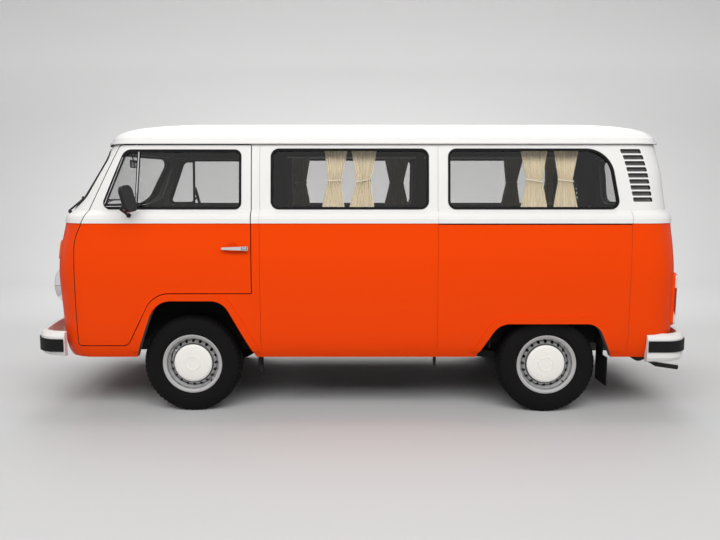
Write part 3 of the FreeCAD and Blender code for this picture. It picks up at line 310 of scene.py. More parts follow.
NODE_FINISHES = {
    "floor_pan": mat_rubber, "frame_rails": under_black, "windscreen": pane_glass,
    "side_glass": pane_glass, "window_seals": seal_black, "front_bumper": white,
    "rear_bumper": white, "bumper_strips": strip_black, "headlamp_bowls": reflector,
    "headlamp_rims": chrome, "headlamp_lenses": lamp_glass, "indicators": amber,
    "tail_lamps": red, "nose_grille": black_plastic, "dashboard": vinyl,
    "steering_wheel": black_plastic, "front_seats": cloth, "rear_bench": cloth,
    "cabinet": wood, "curtains": curtain_cloth, "curtain_rails": rail_metal,
    "front_axle": axle_black, "rear_axle": axle_black, "engine_transaxle": engine_grey,
    "exhaust": exhaust_black, "mud_flaps": strip_black, "tailgate_glass": pane_glass,
    "tailgate_seal": seal_black, "knuckle_left": axle_black, "knuckle_right": axle_black}
for side, _ in SIDES:
    NODE_FINISHES.update({"door_glass_" + side: pane_glass, "door_seal_" + side: seal_black,
                          "door_vent_" + side: seal_black, "door_handle_" + side: chrome,
                          "door_mirror_" + side: mirror_black})
for corner in CORNERS:
    NODE_FINISHES.update({"rim_" + corner: silver, "tyre_" + corner: tyre_black,
                          "cap_" + corner: cap_white})
for shell in SHELLS:
    paint_shell(shell)
for name, mat in NODE_FINISHES.items():
    finish_node(name, mat)
for obj in nodes.values():
    smooth(obj)


def paint_faces(name, mat, test):
    """Second finish on the faces of a solid piece that pass a test of centre and normal."""
    mesh = nodes[name].data
    mesh.materials.append(mat)
    index = len(mesh.materials) - 1
    for face in mesh.polygons:
        if test(face.center, face.normal):
            face.material_index = index


HEADLAMP_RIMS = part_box("headlamp_rims")
HEADLAMP_Z = box_middle("headlamp_rims").z
HEADLAMP_Y = HEADLAMP_RIMS[1][1] - (HEADLAMP_RIMS[1][2] - HEADLAMP_RIMS[0][2]) / 2
HEADLAMP_RING = 0.1225
HEADLAMP_RING_X = -2.03
TAIL_LAMP_RED = (0.672, 0.845)
MIRROR_GLASS_Z = (1.37, 1.52)
MIRROR_GLASS_Y = 0.88
MIRROR_GLASS_FACING = 0.8
WHEEL_RECESS = (0.098, 0.139)
WHEEL_DISC = 0.172
# Faces of the disc that point less to the side are the walls of its slots
SLOT_WALL_SIDEWAYS = 0.35


def on_headlamp_ring(c, n):
    """Test for the raised ring round a headlamp."""
    away = math.hypot(abs(c.y) - HEADLAMP_Y, c.z - HEADLAMP_Z)
    return c.x < HEADLAMP_RING_X and away < HEADLAMP_RING


def on_pale_lens(c, n):
    """Test for the ends of a tail lamp, above and below its red part."""
    return not TAIL_LAMP_RED[0] <= c.z <= TAIL_LAMP_RED[1]


def on_mirror_glass(c, n):
    """Test for the face of a door mirror that looks back."""
    low, high = MIRROR_GLASS_Z
    return n.x > MIRROR_GLASS_FACING and low < c.z < high and abs(c.y) > MIRROR_GLASS_Y


def in_recess(corner):
    """Test for the vented ring of a wheel, between the cap and the bright outer rings, and for
    the walls of its slots; both get a dark finish as painted shade in the recesses.
    """
    x = AXLE_X[corner[0]]

    def test(c, n):
        r = math.hypot(c.x - x, c.z - AXLE_Z)
        in_ring = WHEEL_RECESS[0] < r < WHEEL_RECESS[1]
        return in_ring or (r < WHEEL_DISC and abs(n.y) < SLOT_WALL_SIDEWAYS)
    return test


paint_faces("body_lower", chrome, on_headlamp_ring)
paint_faces("tail_lamps", pale_lens, on_pale_lens)
for side, _ in SIDES:
    paint_faces("door_mirror_" + side, mirror_face, on_mirror_glass)
# The recessed ring and the slot walls of each wheel are painted dark: painted shade
for corner in CORNERS:
    paint_faces("rim_" + corner, wheel_shade_dark, in_recess(corner))


# Building blocks for the added pieces

BOX_SMOOTH_ANGLE = 50.0
CAST_START_X = 3.0


def place_piece(name, mesh, mat, body, angle):
    """Object for a finished mesh, with its material, shading and body."""
    mesh.materials.append(mat)
    obj = bpy.data.objects.new(name, mesh)
    bpy.context.scene.collection.objects.link(obj)
    smooth(obj, angle)
    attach(obj, body)
    return obj


def add_mesh(name, verts, faces, mat, body, angle=35.0):
    """New mesh piece that rides on a body."""
    mesh = bpy.data.meshes.new(name)
    mesh.from_pydata([tuple(p) for p in verts], [], faces)
    mesh.validate()
    bm = bmesh.new()
    bm.from_mesh(mesh)
    bmesh.ops.recalc_face_normals(bm, faces=bm.faces)
    bm.to_mesh(mesh)
    bm.free()
    return place_piece(name, mesh, mat, body, angle)


def tube_mesh(name, points, radius, mat, body, sides=12):
    """Round bar through some points, closed at both ends."""
    points = [Vector(p) for p in points]
    verts, faces = [], []
    normal = None
    for i, p in enumerate(points):
        ahead = points[min(i + 1, len(points) - 1)] - points[max(i - 1, 0)]
        ahead.normalize()
        if normal is None:
            normal = ahead.orthogonal().normalized()
        normal = (normal - ahead * normal.dot(ahead)).normalized()
        across = ahead.cross(normal)
        for k in range(sides):
            a = 2 * math.pi * k / sides
            verts.append(p + (normal * math.cos(a) + across * math.sin(a)) * radius)
    for i in range(len(points) - 1):
        for k in range(sides):
            n = (k + 1) % sides
            faces.append((i * sides + k, i * sides + n, (i + 1) * sides + n,
                          (i + 1) * sides + k))
    faces.append(tuple(range(sides)))
    faces.append(tuple((len(points) - 1) * sides + k for k in range(sides)))
    return add_mesh(name, verts, faces, mat, body)


def rounded_box(name, half, radius, place, mat, body, cuts=6, shape=None):
    """Box from half sizes and an edge radius; shape(x, y, z) may move its points first."""
    bm = bmesh.new()
    bmesh.ops.create_cube(bm, size=2.0)
    bmesh.ops.subdivide_edges(bm, edges=bm.edges[:], cuts=cuts, use_grid_fill=True)
    core = [h - radius for h in half]
    for vert in bm.verts:
        p = []
        for value, h in zip(vert.co, half):
            p.append(math.sin(value * math.pi / 2) * h)
        inner = Vector([max(-c, min(c, q)) for q, c in zip(p, core)])
        away = Vector(p) - inner
        vert.co = inner + away.normalized() * radius if away.length > 1e-9 else Vector(p)
        if shape:
            vert.co = Vector(shape(*vert.co))
        vert.co = place @ vert.co
    mesh = bpy.data.meshes.new(name)
    bmesh.ops.recalc_face_normals(bm, faces=bm.faces[:])
    bm.to_mesh(mesh)
    bm.free()
    return place_piece(name, mesh, mat, body, BOX_SMOOTH_ANGLE)


def at(x, y, z):
    """Placing without a turn."""
    return Matrix.Translation((x, y, z))


def skin_point(outward, y, z, proud):
    """Point a little outside the skin, looked for from ahead (-1) or behind (1)."""
    start = Vector((CAST_START_X * outward, y, z))
    hit, normal, _, _ = outer_tree.ray_cast(start, Vector((-outward, 0, 0)))
    return hit + normal * proud if normal.x * outward > 0 else hit - normal * proud


def skin_from_front(y, z, proud):
    """Point a little in front of the nose or windscreen."""
    return skin_point(-1, y, z, proud)


def skin_from_rear(y, z, proud):
    """Point a little behind the tailgate or lid."""
    return skin_point(1, y, z, proud)


# Tyres with a grooved tread, and their valves

# (across, radius) of the side wall, the shoulder and the inside
TYRE_PROFILE = [
    (-0.0660, 0.1842), (-0.0660, 0.2012), (-0.0760, 0.2050), (-0.0850, 0.2180),
    (-0.0880, 0.2200), (-0.0895, 0.2290), (-0.0922, 0.2420), (-0.0930, 0.2540),
    (-0.0922, 0.2680), (-0.0905, 0.2820), (-0.0890, 0.2845), (-0.0868, 0.2960),
    (-0.0830, 0.3060)]
SHOULDER = [(-0.0800, 0.3120), (-0.0745, 0.3185), (-0.0660, 0.3236), (-0.0560, 0.3262)]
TYRE_INSIDE = [(0.044, 0.190), (0.062, 0.212), (0.076, 0.254), (0.068, 0.296), (0.040, 0.312),
               (-0.040, 0.312), (-0.068, 0.296), (-0.076, 0.254), (-0.062, 0.212),
               (-0.044, 0.190)]
TREAD_RADIUS = 0.3276
GROOVES = (-0.044, -0.016, 0.016, 0.044)
GROOVE_HALF = 0.0032
GROOVE_FLOOR_SHARE = 0.7
GROOVE_DEPTH = 0.007
ZIGZAG = 0.0022
STEPS_A_ZIGZAG = 3
LUGS = 60
LUG_DEPTH = 0.0055
STEPS_A_LUG = 4
LUG_GAP_STEPS = 2
VALVE_RADIUS = 0.004
VALVE_OUT = 0.038
# (along and down from the axle, outward) of the valve's ends
VALVE_ENDS = ((0.118, -0.004), (0.124, 0.022))


def tread_rows():
    """(across, radius, kind) of the tread between the shoulders; kind g is a groove's floor."""
    rows = []
    for middle in GROOVES:
        for offset, kind in ((-GROOVE_HALF, "t"), (-GROOVE_HALF * GROOVE_FLOOR_SHARE, "g"),
                             (GROOVE_HALF * GROOVE_FLOOR_SHARE, "g"), (GROOVE_HALF, "t")):
            rows.append((middle + offset, TREAD_RADIUS, kind))
    return rows


def tyre(corner):
    """Tyre with side ribs, shoulder lugs and zigzag grooves."""
    left = [(a, r, "w") for a, r in TYRE_PROFILE] + [(a, r, "s") for a, r in SHOULDER]
    right = [(-a, r, kind) for a, r, kind in reversed(left)]
    inside = [(a, r, "w") for a, r in TYRE_INSIDE]
    ring = left + tread_rows() + right + inside
    steps = LUGS * STEPS_A_LUG
    side = wheel_side(corner)
    centre = Vector((AXLE_X[corner[0]], box_middle("tyre_" + corner).y, AXLE_Z))
    verts, faces = [], []
    for i in range(steps):
        angle = 2 * math.pi * i / steps
        for a, r, kind in ring:
            if kind == "s" and i % STEPS_A_LUG < LUG_GAP_STEPS:
                r -= LUG_DEPTH
            if kind == "g":
                r -= GROOVE_DEPTH
            if kind in "tg":
                a += ZIGZAG * (1 if (i // STEPS_A_ZIGZAG) % 2 else -1)
            verts.append(centre + Vector((r * math.cos(angle), side * a, r * math.sin(angle))))
    count = len(ring)
    for i in range(steps):
        j = (i + 1) % steps
        for k in range(count):
            n = (k + 1) % count
            faces.append((i * count + k, i * count + n, j * count + n, j * count + k))
    obj = add_mesh("tread_" + corner, verts, faces, tyre_black, "wheel_" + corner, angle=24.0)
    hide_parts("tyre_" + corner)


def valve(corner):
    """Short valve stem near the edge of the wheel disc."""
    side = wheel_side(corner)
    y = box_middle("rim_" + corner).y + side * VALVE_OUT
    ends = [(AXLE_X[corner[0]] + away, y + side * out, AXLE_Z - away)
            for away, out in VALVE_ENDS]
    tube_mesh("valve_" + corner, ends, VALVE_RADIUS, seal_black, "wheel_" + corner, sides=8)


for corner in CORNERS:
    tyre(corner)
    valve(corner)


# Curtains: pleated sheets, drawn in at a tie

CURTAIN_TOP = 1.772
CURTAIN_BOTTOM = 1.373
CURTAIN_TIE = 1.566
# How far the pleats' middle hangs inside the body's outside
CURTAIN_DEPTH = 0.081
# Width at the tie as a share of the width at the rail
CURTAIN_WAIST = 0.55
WAIST_BLEND = 0.012
WAIST_CURVE = 0.9
CURTAIN_LEAN = 0.012
CURTAIN_WOBBLE = 0.004
WOBBLE_UP = 9.0
WOBBLE_ALONG = 7.0
# Width of flat cloth over width at the rail
CLOTH_RATIO = 2.0
PLEAT_CLOTH = 0.043
MIN_PLEATS = 4
PLEAT_DEPTHS = (0.82, 1.12)
PLEAT_SHIFTS = (-0.6, 0.6)
PLEAT_SKEW = 0.10
MAX_PLEAT = 0.03
HALVINGS = 24
CURTAIN_ROWS = 30
PLEAT_STEPS = 10
TIE_SLOPES = (0.02, 0.20, -0.18, -0.12)
TIE_STEPS = 40
TIE_HALF_HEIGHT = 0.005
TIE_THICK = 0.0012
TIE_MARGIN = 0.005
TIE_HALF_DEPTH = 0.0135
# (forward end, rear end) of each curtain at the rail
LEFT_CURTAINS = [(-0.255, -0.098), (-0.073, 0.099), (1.065, 1.250), (1.287, 1.455)]
RIGHT_CURTAINS = [(-0.601, -0.440), (0.206, 0.416), (1.230, 1.400), (1.580, 1.690)]


def curtain_share(z):
    """Width of a curtain at a height as a share of its width at the rail."""
    span = CURTAIN_TOP - CURTAIN_TIE if z > CURTAIN_TIE else CURTAIN_TIE - CURTAIN_BOTTOM
    rise = math.hypot(abs(z - CURTAIN_TIE), WAIST_BLEND) / span
    return min(1.0, CURTAIN_WAIST + (1 - CURTAIN_WAIST) * rise ** WAIST_CURVE)


def row_points(x0, width, folds, depth, weights, shifts):
    """Across and depth of the points of one row of pleats."""
    points = []
    steps = folds * PLEAT_STEPS
    for k in range(steps + 1):
        u = k / steps
        fold = min(int(u * folds), folds - 1)
        swing = math.sin(math.pi * u)
        wave = math.sin(2 * math.pi * (u * folds) + shifts[fold] * swing)
        points.append((x0 + width * (u + PLEAT_SKEW * shifts[fold] / folds * swing),
                       depth * weights[fold] * wave))
    return points


def row_length(points):
    """Length of cloth along one row."""
    return sum(math.dist(p, q) for p, q in zip(points, points[1:]))


def curtain_drift(z):
    """How far a curtain has swung forward along the van at a height."""
    return CURTAIN_LEAN * (CURTAIN_TOP - z) / (CURTAIN_TOP - CURTAIN_BOTTOM)


def curtain(name, x0, x1, side, slope):
    """One gathered curtain: every row has the same length of cloth, whatever its width."""
    top_width = x1 - x0
    cloth_width = CLOTH_RATIO * top_width
    folds = max(MIN_PLEATS, round(cloth_width / PLEAT_CLOTH))
    weights = [random.uniform(*PLEAT_DEPTHS) for _ in range(folds)]
    shifts = [random.uniform(*PLEAT_SHIFTS) for _ in range(folds)]
    verts, faces = [], []
    for i in range(CURTAIN_ROWS + 1):
        z = CURTAIN_TOP + (CURTAIN_BOTTOM - CURTAIN_TOP) * i / CURTAIN_ROWS
        width = top_width * curtain_share(z)
        wobble = CURTAIN_WOBBLE * math.sin(WOBBLE_UP * z + WOBBLE_ALONG * x0)
        start = (x0 + x1 - width) / 2 + wobble - curtain_drift(z)
        low, high = 0.0, MAX_PLEAT
        for _ in range(HALVINGS):
            depth = (low + high) / 2
            if row_length(row_points(start, width, folds, depth, weights, shifts)) < cloth_width:
                low = depth
            else:
                high = depth
        for x, out in row_points(start, width, folds, depth, weights, shifts):
            verts.append((x, side * (side_half(z) - CURTAIN_DEPTH + out), z))
    columns = folds * PLEAT_STEPS + 1
    for i in range(CURTAIN_ROWS):
        for k in range(columns - 1):
            a = i * columns + k
            faces.append((a, a + 1, a + columns + 1, a + columns))
    sheet = add_mesh(name, verts, faces, curtain_cloth, "chassis", angle=80.0)
    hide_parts("curtains")
    tie = tie_band(name + "_tie", (x0 + x1) / 2 - curtain_drift(CURTAIN_TIE),
                   top_width * curtain_share(CURTAIN_TIE), side, slope)


def tie_band(name, x, width, side, slope):
    """Narrow band round the gathered waist of a curtain."""
    y = side * (side_half(CURTAIN_TIE) - CURTAIN_DEPTH)
    verts, faces = [], []
    for i in range(TIE_STEPS):
        a = 2 * math.pi * i / TIE_STEPS
        for grow, lift in ((0, -1), (TIE_THICK, -1), (TIE_THICK, 1), (0, 1)):
            reach = width / 2 + TIE_MARGIN + grow
            tilt = slope * reach * math.cos(a)
            verts.append((x + reach * math.cos(a), y + (TIE_HALF_DEPTH + grow) * math.sin(a),
                          CURTAIN_TIE + tilt + lift * TIE_HALF_HEIGHT))
    for i in range(TIE_STEPS):
        j = (i + 1) % TIE_STEPS
        for k in range(4):
            n = (k + 1) % 4
            faces.append((4 * i + k, 4 * i + n, 4 * j + n, 4 * j + k))
    obj = add_mesh(name, verts, faces, curtain_cloth, "chassis", angle=40.0)
    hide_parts("curtains")
    return obj


for (side, sign), spans in zip(SIDES, (LEFT_CURTAINS, RIGHT_CURTAINS)):
    for number, ((x0, x1), slope) in enumerate(zip(spans, TIE_SLOPES), start=1):
        curtain("curtain_%s_%d" % (side, number), x0, x1, sign, slope)


# Seats

SEAM_DEPTH = 0.006
SEAM_SHARPNESS = 8
CUSHION_EDGE = 0.03
CUSHION_CUTS = 34
CUSHION_PUFF = 0.012
FRONT_FLUTES = 6
SEAT_BOX_EDGE = 0.006
FRONT_SEAT_Y = 0.400
FRONT_BACK_TILT = math.radians(15.9)
BENCH_BACK_TILT = math.radians(9.0)
BENCH_FLUTES = 10


def cushion_shape(half, flutes, along):
    """Puffed faces with pressed seams that run across the cushion."""
    def shape(x, y, z):
        u = x / half[0] if along == "x" else z / half[2]
        w = y / half[1]
        swell = max(0.0, 1 - u * u) * max(0.0, 1 - w ** 4)
        groove = (0.5 + 0.5 * math.cos(math.pi * flutes * (w + 1.0))) ** SEAM_SHARPNESS
        lift = CUSHION_PUFF * swell - SEAM_DEPTH * groove * swell ** 0.3
        if along == "x":
            return (x, y, z + lift * (1 if z > 0 else 0))
        return (x + lift * (1 if x > 0 else -1), y, z)
    return shape


def cushion(name, half, place, along, replaced, flutes=FRONT_FLUTES):
    """Padded cushion or back in place of a solid piece; along is the axis of its depth."""
    obj = rounded_box(name, half, CUSHION_EDGE, place, cloth, "chassis", cuts=CUSHION_CUTS,
                      shape=cushion_shape(half, flutes, along))
    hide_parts(replaced)


def seat_box(name, half, place, mat, replaced):
    """Plain box under a cushion."""
    obj = rounded_box(name, half, SEAT_BOX_EDGE, place, mat, "chassis")
    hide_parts(replaced)


for side, sign in SIDES:
    y = sign * FRONT_SEAT_Y
    seat_box("seat_box_" + side, half=(0.230, 0.215, 0.0305), place=at(-1.190, y, 0.8290),
             mat=vinyl, replaced="front_seats")
    cushion("seat_cushion_" + side, half=(0.250, 0.240, 0.0560), place=at(-1.210, y, 0.9165),
            along="x", replaced="front_seats")
    cushion("seat_back_" + side, half=(0.040, 0.228, 0.196),
            place=at(-0.893, y, 1.142) @ Matrix.Rotation(FRONT_BACK_TILT, 4, "Y"),
            along="z", replaced="front_seats")
seat_box("bench_box", half=(0.2545, 0.560, 0.1590), place=at(0.3850, 0.0, 0.6300),
         mat=wood, replaced="rear_bench")
cushion("bench_cushion", half=(0.262, 0.560, 0.0660), place=at(0.3740, 0.0, 0.8560),
        along="x", replaced="rear_bench", flutes=BENCH_FLUTES)
cushion("bench_back", half=(0.042, 0.558, 0.196),
        place=at(0.6560, 0.0, 1.1260) @ Matrix.Rotation(BENCH_BACK_TILT, 4, "Y"),
        along="z", replaced="rear_bench", flutes=BENCH_FLUTES)


# Outside trim

# Dark strips as painted shadow: one at the bottom of the rail slot, with a like line along the
# sliding door's side, where shade falls under the belt
RAIL_LINE_MIDDLE = (1.135, 1.2800)
RAIL_LINE_HALF_LENGTH = 0.630
RAIL_LINE_HALF_HEIGHT = 0.0040
for side, y, half_depth in (("left", -0.8480, 0.0012), ("right", 0.8490, 0.0016)):
    rounded_box("rail_shadow_line_" + side, (RAIL_LINE_HALF_LENGTH, half_depth, RAIL_LINE_HALF_HEIGHT),
                0.0008, at(RAIL_LINE_MIDDLE[0], y, RAIL_LINE_MIDDLE[1]), gap_shade_black, "chassis",
                cuts=3)

# Wipers
PIVOT_RADIUS = 0.012
PIVOT_HEIGHT = 0.020
ARM_RADIUS = 0.0070
ARM_BEND_HEIGHT = 0.024
BLADE_RADIUS = 0.0060
BLADE_STEPS = 8


def wiper(name, pivot, bend, blade):
    """Pivot cap, bent arm and a blade that lies along the windscreen; all as (y, z)."""
    cap_base = skin_from_front(*pivot, 0.0)
    cap_top = skin_from_front(*pivot, PIVOT_HEIGHT)
    tube_mesh(name + "_pivot", [cap_base, cap_top], PIVOT_RADIUS, black_plastic, "chassis")
    (y0, z0), (y1, z1) = blade
    line = [skin_from_front(y0 + (y1 - y0) * k / BLADE_STEPS, z0 + (z1 - z0) * k / BLADE_STEPS,
                            BLADE_RADIUS) for k in range(BLADE_STEPS + 1)]
    tube_mesh(name + "_blade", line, BLADE_RADIUS, seal_black, "chassis", sides=8)
    middle = skin_from_front((y0 + y1) / 2, (z0 + z1) / 2, 2 * BLADE_RADIUS)
    arm = [cap_top, skin_from_front(*bend, ARM_BEND_HEIGHT), middle]
    tube_mesh(name + "_arm", arm, ARM_RADIUS, black_plastic, "chassis", sides=8)


wiper("wiper_left", pivot=(-0.560, 1.345), bend=(-0.500, 1.385),
      blade=((-0.640, 1.452), (-0.190, 1.412)))
wiper("wiper_right", pivot=(0.150, 1.345), bend=(0.200, 1.385),
      blade=((0.060, 1.425), (0.540, 1.418)))

# Bright strips on the vent frames of the cab doors: radius and ends as (x, z)
VENT_STRIPS = {"bar": (0.0046, ((-1.4855, 1.394), (-1.4672, 1.750))),
               "edge": (0.0026, ((-1.682, 1.3945), (-1.560, 1.3945))),
               "slope": (0.0026, ((-1.691, 1.408), (-1.573, 1.715)))}
VENT_STRIP_OUT = 0.0035
for side, sign in SIDES:
    for part, (radius, ends) in VENT_STRIPS.items():
        points = [(x, sign * (side_half(z) + VENT_STRIP_OUT), z) for x, z in ends]
        tube_mesh("vent_strip_%s_%s" % (part, side), points, radius, chrome,
                  "cab_door_" + side, sides=10)

# Jacking loops under the sills
JACK_X = -0.692
JACK_Y = 0.728
JACK_RADIUS = 0.0055
JACK_OUTLINE = [(-0.012, 0.400), (-0.015, 0.262), (-0.008, 0.246), (0.008, 0.246),
                (0.015, 0.262), (0.012, 0.400)]
for side, sign in SIDES:
    loop = [(JACK_X + dx, sign * JACK_Y, z) for dx, z in JACK_OUTLINE]
    tube_mesh("jack_loop_" + side, loop, JACK_RADIUS, axle_black, "chassis", sides=10)

# Plain ring on the nose
NOSE_RING_RADIUS = 0.128
NOSE_RING_Z = 0.905
NOSE_RING_THICK = 0.0075
NOSE_RING_OUT = 0.002
NOSE_RING_STEPS = 64
ring_points = []
for k in range(NOSE_RING_STEPS + 1):
    a = 2 * math.pi * k / NOSE_RING_STEPS
    y = NOSE_RING_RADIUS * math.cos(a)
    z = NOSE_RING_Z + NOSE_RING_RADIUS * math.sin(a)
    ring_points.append(skin_from_front(y, z, NOSE_RING_OUT))
tube_mesh("nose_ring", ring_points, NOSE_RING_THICK, white, "chassis", sides=10)

# Blank plates, the plate lamp and the latches
PLATE_HALF_WIDTH = 0.260
PLATE_HALF_HEIGHT = 0.055
PLATE_HALF_THICK = 0.0015
PLATE_STANDOFF = 0.004


def blank_plate(name, skin, outward, z, body):
    """Upright plate that stands clear of the bowed skin behind it."""
    bulge = max(outward * skin(y, z + dz, 0.0).x
                for y in (-PLATE_HALF_WIDTH, 0.0, PLATE_HALF_WIDTH)
                for dz in (-PLATE_HALF_HEIGHT, 0.0, PLATE_HALF_HEIGHT))
    rounded_box(name, (PLATE_HALF_THICK, PLATE_HALF_WIDTH, PLATE_HALF_HEIGHT), 0.0006,
                at(outward * (bulge + PLATE_STANDOFF), 0.0, z), plate_white, body, cuts=3)


blank_plate("front_plate", skin_from_front, outward=-1.0, z=0.655, body="chassis")
blank_plate("rear_plate", skin_from_rear, outward=1.0, z=0.700, body="lid")
# Height, distance from the skin, half sizes and edge radius, then material and body
REAR_TRIM = {
    "plate_lamp": (0.800, 0.010, (0.014, 0.060, 0.016), 0.008, chrome, "lid"),
    "lid_latch": (0.600, 0.008, (0.012, 0.030, 0.014), 0.007, black_plastic, "lid"),
    "tailgate_latch": (0.985, 0.010, (0.013, 0.055, 0.018), 0.008, chrome, "tail_door")}
for name, (z, proud, half, edge, mat, body) in REAR_TRIM.items():
    rounded_box(name, half, edge, Matrix.Translation(skin_from_rear(0.0, z, proud)), mat, body,
                cuts=8)

# Push button at the end of each door handle, on a black plate a little larger than the button:
# painted shade in the gap round it
BUTTON_INSET = 0.024
BUTTON_HALF = (0.0170, 0.0035, 0.0088)
BUTTON_SHADE_HALF = (0.0190, 0.0012, 0.0105)
CAST_START_Y = 1.2
for side, sign in SIDES:
    handle = "door_handle_" + side
    handle_tree = joined_tree((handle,))
    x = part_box(handle)[1][0] - BUTTON_INSET
    z = box_middle(handle).z
    start = Vector((x, sign * CAST_START_Y, z))
    face = handle_tree.ray_cast(start, Vector((0, -sign, 0)))[0]
    # Black plate behind the button: painted shade in the gap round it
    rounded_box("button_gap_shade_" + side, BUTTON_SHADE_HALF, 0.0010, at(x, face.y, z), black_plastic,
                "cab_door_" + side, cuts=6)
    rounded_box("handle_button_" + side, BUTTON_HALF, 0.0032, at(x, face.y, z), chrome,
                "cab_door_" + side, cuts=8)

# Sliding door's grip on two feet: half sizes, x and y
SLIDER_GRIP_Z = 1.123
SLIDER_EDGE_SHARE = 0.8
SLIDER_FOOT = (0.012, 0.014, 0.009)
SLIDER_GRIP = {"slider_grip": ((0.085, 0.005, 0.012), -0.560, 0.885),
               "slider_foot_front": (SLIDER_FOOT, -0.632, 0.871),
               "slider_foot_rear": (SLIDER_FOOT, -0.488, 0.871)}
for name, (half, x, y) in SLIDER_GRIP.items():
    rounded_box(name, half, min(half) * SLIDER_EDGE_SHARE, at(x, y, SLIDER_GRIP_Z), chrome,
                "chassis", cuts=8)

# Mesh behind the intake slots; its rear edge leans forward
MESH_HEIGHTS = (1.400, 1.617, 1.783)
MESH_FRONT_X = 1.690
MESH_REAR_X = 1.850
MESH_LEAN = 0.16
MESH_INSIDE = 0.022
for side, sign in SIDES:
    verts = []
    for z in MESH_HEIGHTS:
        for x in (MESH_FRONT_X, MESH_REAR_X + (MESH_HEIGHTS[-1] - z) * MESH_LEAN):
            verts.append((x, sign * (side_half(z) - MESH_INSIDE), z))
    add_mesh("intake_mesh_" + side, verts, [(0, 1, 3, 2), (2, 3, 5, 4)], mesh_grey, "chassis")


# Inside trim

# Mirror on a stem from the windscreen's upper edge
MIRROR_Z = 1.700
MIRROR_STEM = [(-1.748, 0.0, MIRROR_Z), (-1.760, 0.0, 1.760), (-1.772, 0.0, 1.792)]
rounded_box("inner_mirror", (0.007, 0.105, 0.030), 0.006, at(-1.742, 0.0, MIRROR_Z),
            mirror_black, "chassis", cuts=6)
rounded_box("inner_mirror_glass", (0.001, 0.098, 0.024), 0.0008, at(-1.7345, 0.0, MIRROR_Z),
            mirror_face, "chassis", cuts=4)
tube_mesh("inner_mirror_stem", MIRROR_STEM, 0.005, mirror_black, "chassis", sides=8)

# Pulls and window cranks on the inner faces of the cab doors
DOOR_INNER_Y = 0.8125
PULL_HALF = (0.095, 0.016, 0.013)
# (x, depth inside the door's inner face, z) of the pull's middle and of the crank's bends
PULL_PLACE = (-1.080, 0.017, 1.150)
CRANK_RADIUS = 0.006
CRANK_PATH = ((-1.330, -0.001, 1.080), (-1.330, 0.022, 1.080), (-1.270, 0.024, 1.050),
              (-1.270, 0.048, 1.050))
for side, sign in SIDES:
    inner_y = sign * DOOR_INNER_Y
    x, depth, z = PULL_PLACE
    rounded_box("door_pull_" + side, PULL_HALF, 0.010, at(x, inner_y - sign * depth, z),
                black_plastic, "cab_door_" + side, cuts=8)
    crank = [(x, inner_y - sign * depth, z) for x, depth, z in CRANK_PATH]
    tube_mesh("window_crank_" + side, crank, CRANK_RADIUS, black_plastic,
              "cab_door_" + side, sides=10)

# Fronts and knobs of the cupboard
CUPBOARD_FRONT_HALF = (0.158, 0.005, 0.315)
CUPBOARD_FRONTS_X = (-0.435, -0.105)
CUPBOARD_FRONT_Y = -0.4255
CUPBOARD_FRONT_Z = 0.840
KNOB_HALF = (0.010, 0.010, 0.010)
KNOB_BEHIND_MIDDLE = 0.120
KNOB_Y = -0.411
KNOB_Z = 1.020
for number, x in enumerate(CUPBOARD_FRONTS_X, start=1):
    rounded_box("cupboard_front_%d" % number, CUPBOARD_FRONT_HALF, 0.002,
                at(x, CUPBOARD_FRONT_Y, CUPBOARD_FRONT_Z), wood, "chassis", cuts=3)
    rounded_box("cupboard_knob_%d" % number, KNOB_HALF, 0.009,
                at(x + KNOB_BEHIND_MIDDLE, KNOB_Y, KNOB_Z), chrome, "chassis", cuts=6)


# Studio

STAGE_GREY = (0.42, 0.42, 0.42, 1.0)
STAGE_ROUGH = 0.7
STAGE_SPECULAR = 0.1
STAGE_HALF_WIDTH = 16.0
STAGE_FRONT_Y = -14.0
STAGE_BEND_Y = 5.0
STAGE_BEND = 4.0
STAGE_BEND_STEPS = 24
STAGE_TOP = 14.0
# Stage as the camera sees it: (metres along Y, grey, its share of red), (metres up, glow).
# The lower share of red beside the van takes out some of the glow of its paint.
FLOOR_GRADE = [(-4.5, 0.50, 1.0), (-2.4, 0.51, 0.98), (-1.5, 0.55, 0.96), (-1.1, 0.58, 0.955),
               (-0.7, 0.56, 1.0), (0.3, 0.50, 1.0), (2.0, 0.55, 1.0), (4.0, 0.75, 1.0),
               (5.0, 0.86, 1.0), (9.0, 0.98, 1.0)]
WALL_GLOW = [(0.0, 0.0), (0.2, 0.03), (1.2, 0.07), (3.0, 0.10), (4.1, 0.17), (5.3, 0.11),
             (9.0, 0.08)]


def ramp(tree, value, stops):
    """Colour that runs through (position, colour) stops."""
    node = tree.nodes.new("ShaderNodeValToRGB")
    band = node.color_ramp
    low, high = stops[0][0], stops[-1][0]
    span = tree.nodes.new("ShaderNodeMapRange")
    span.inputs["From Min"].default_value = low
    span.inputs["From Max"].default_value = high
    tree.links.new(value, span.inputs["Value"])
    while len(band.elements) < len(stops):
        band.elements.new(0.5)
    for element, (place, colour) in zip(band.elements, stops):
        element.position = (place - low) / (high - low)
        element.color = colour
    tree.links.new(span.outputs["Result"], node.inputs["Fac"])
    return node.outputs["Color"]


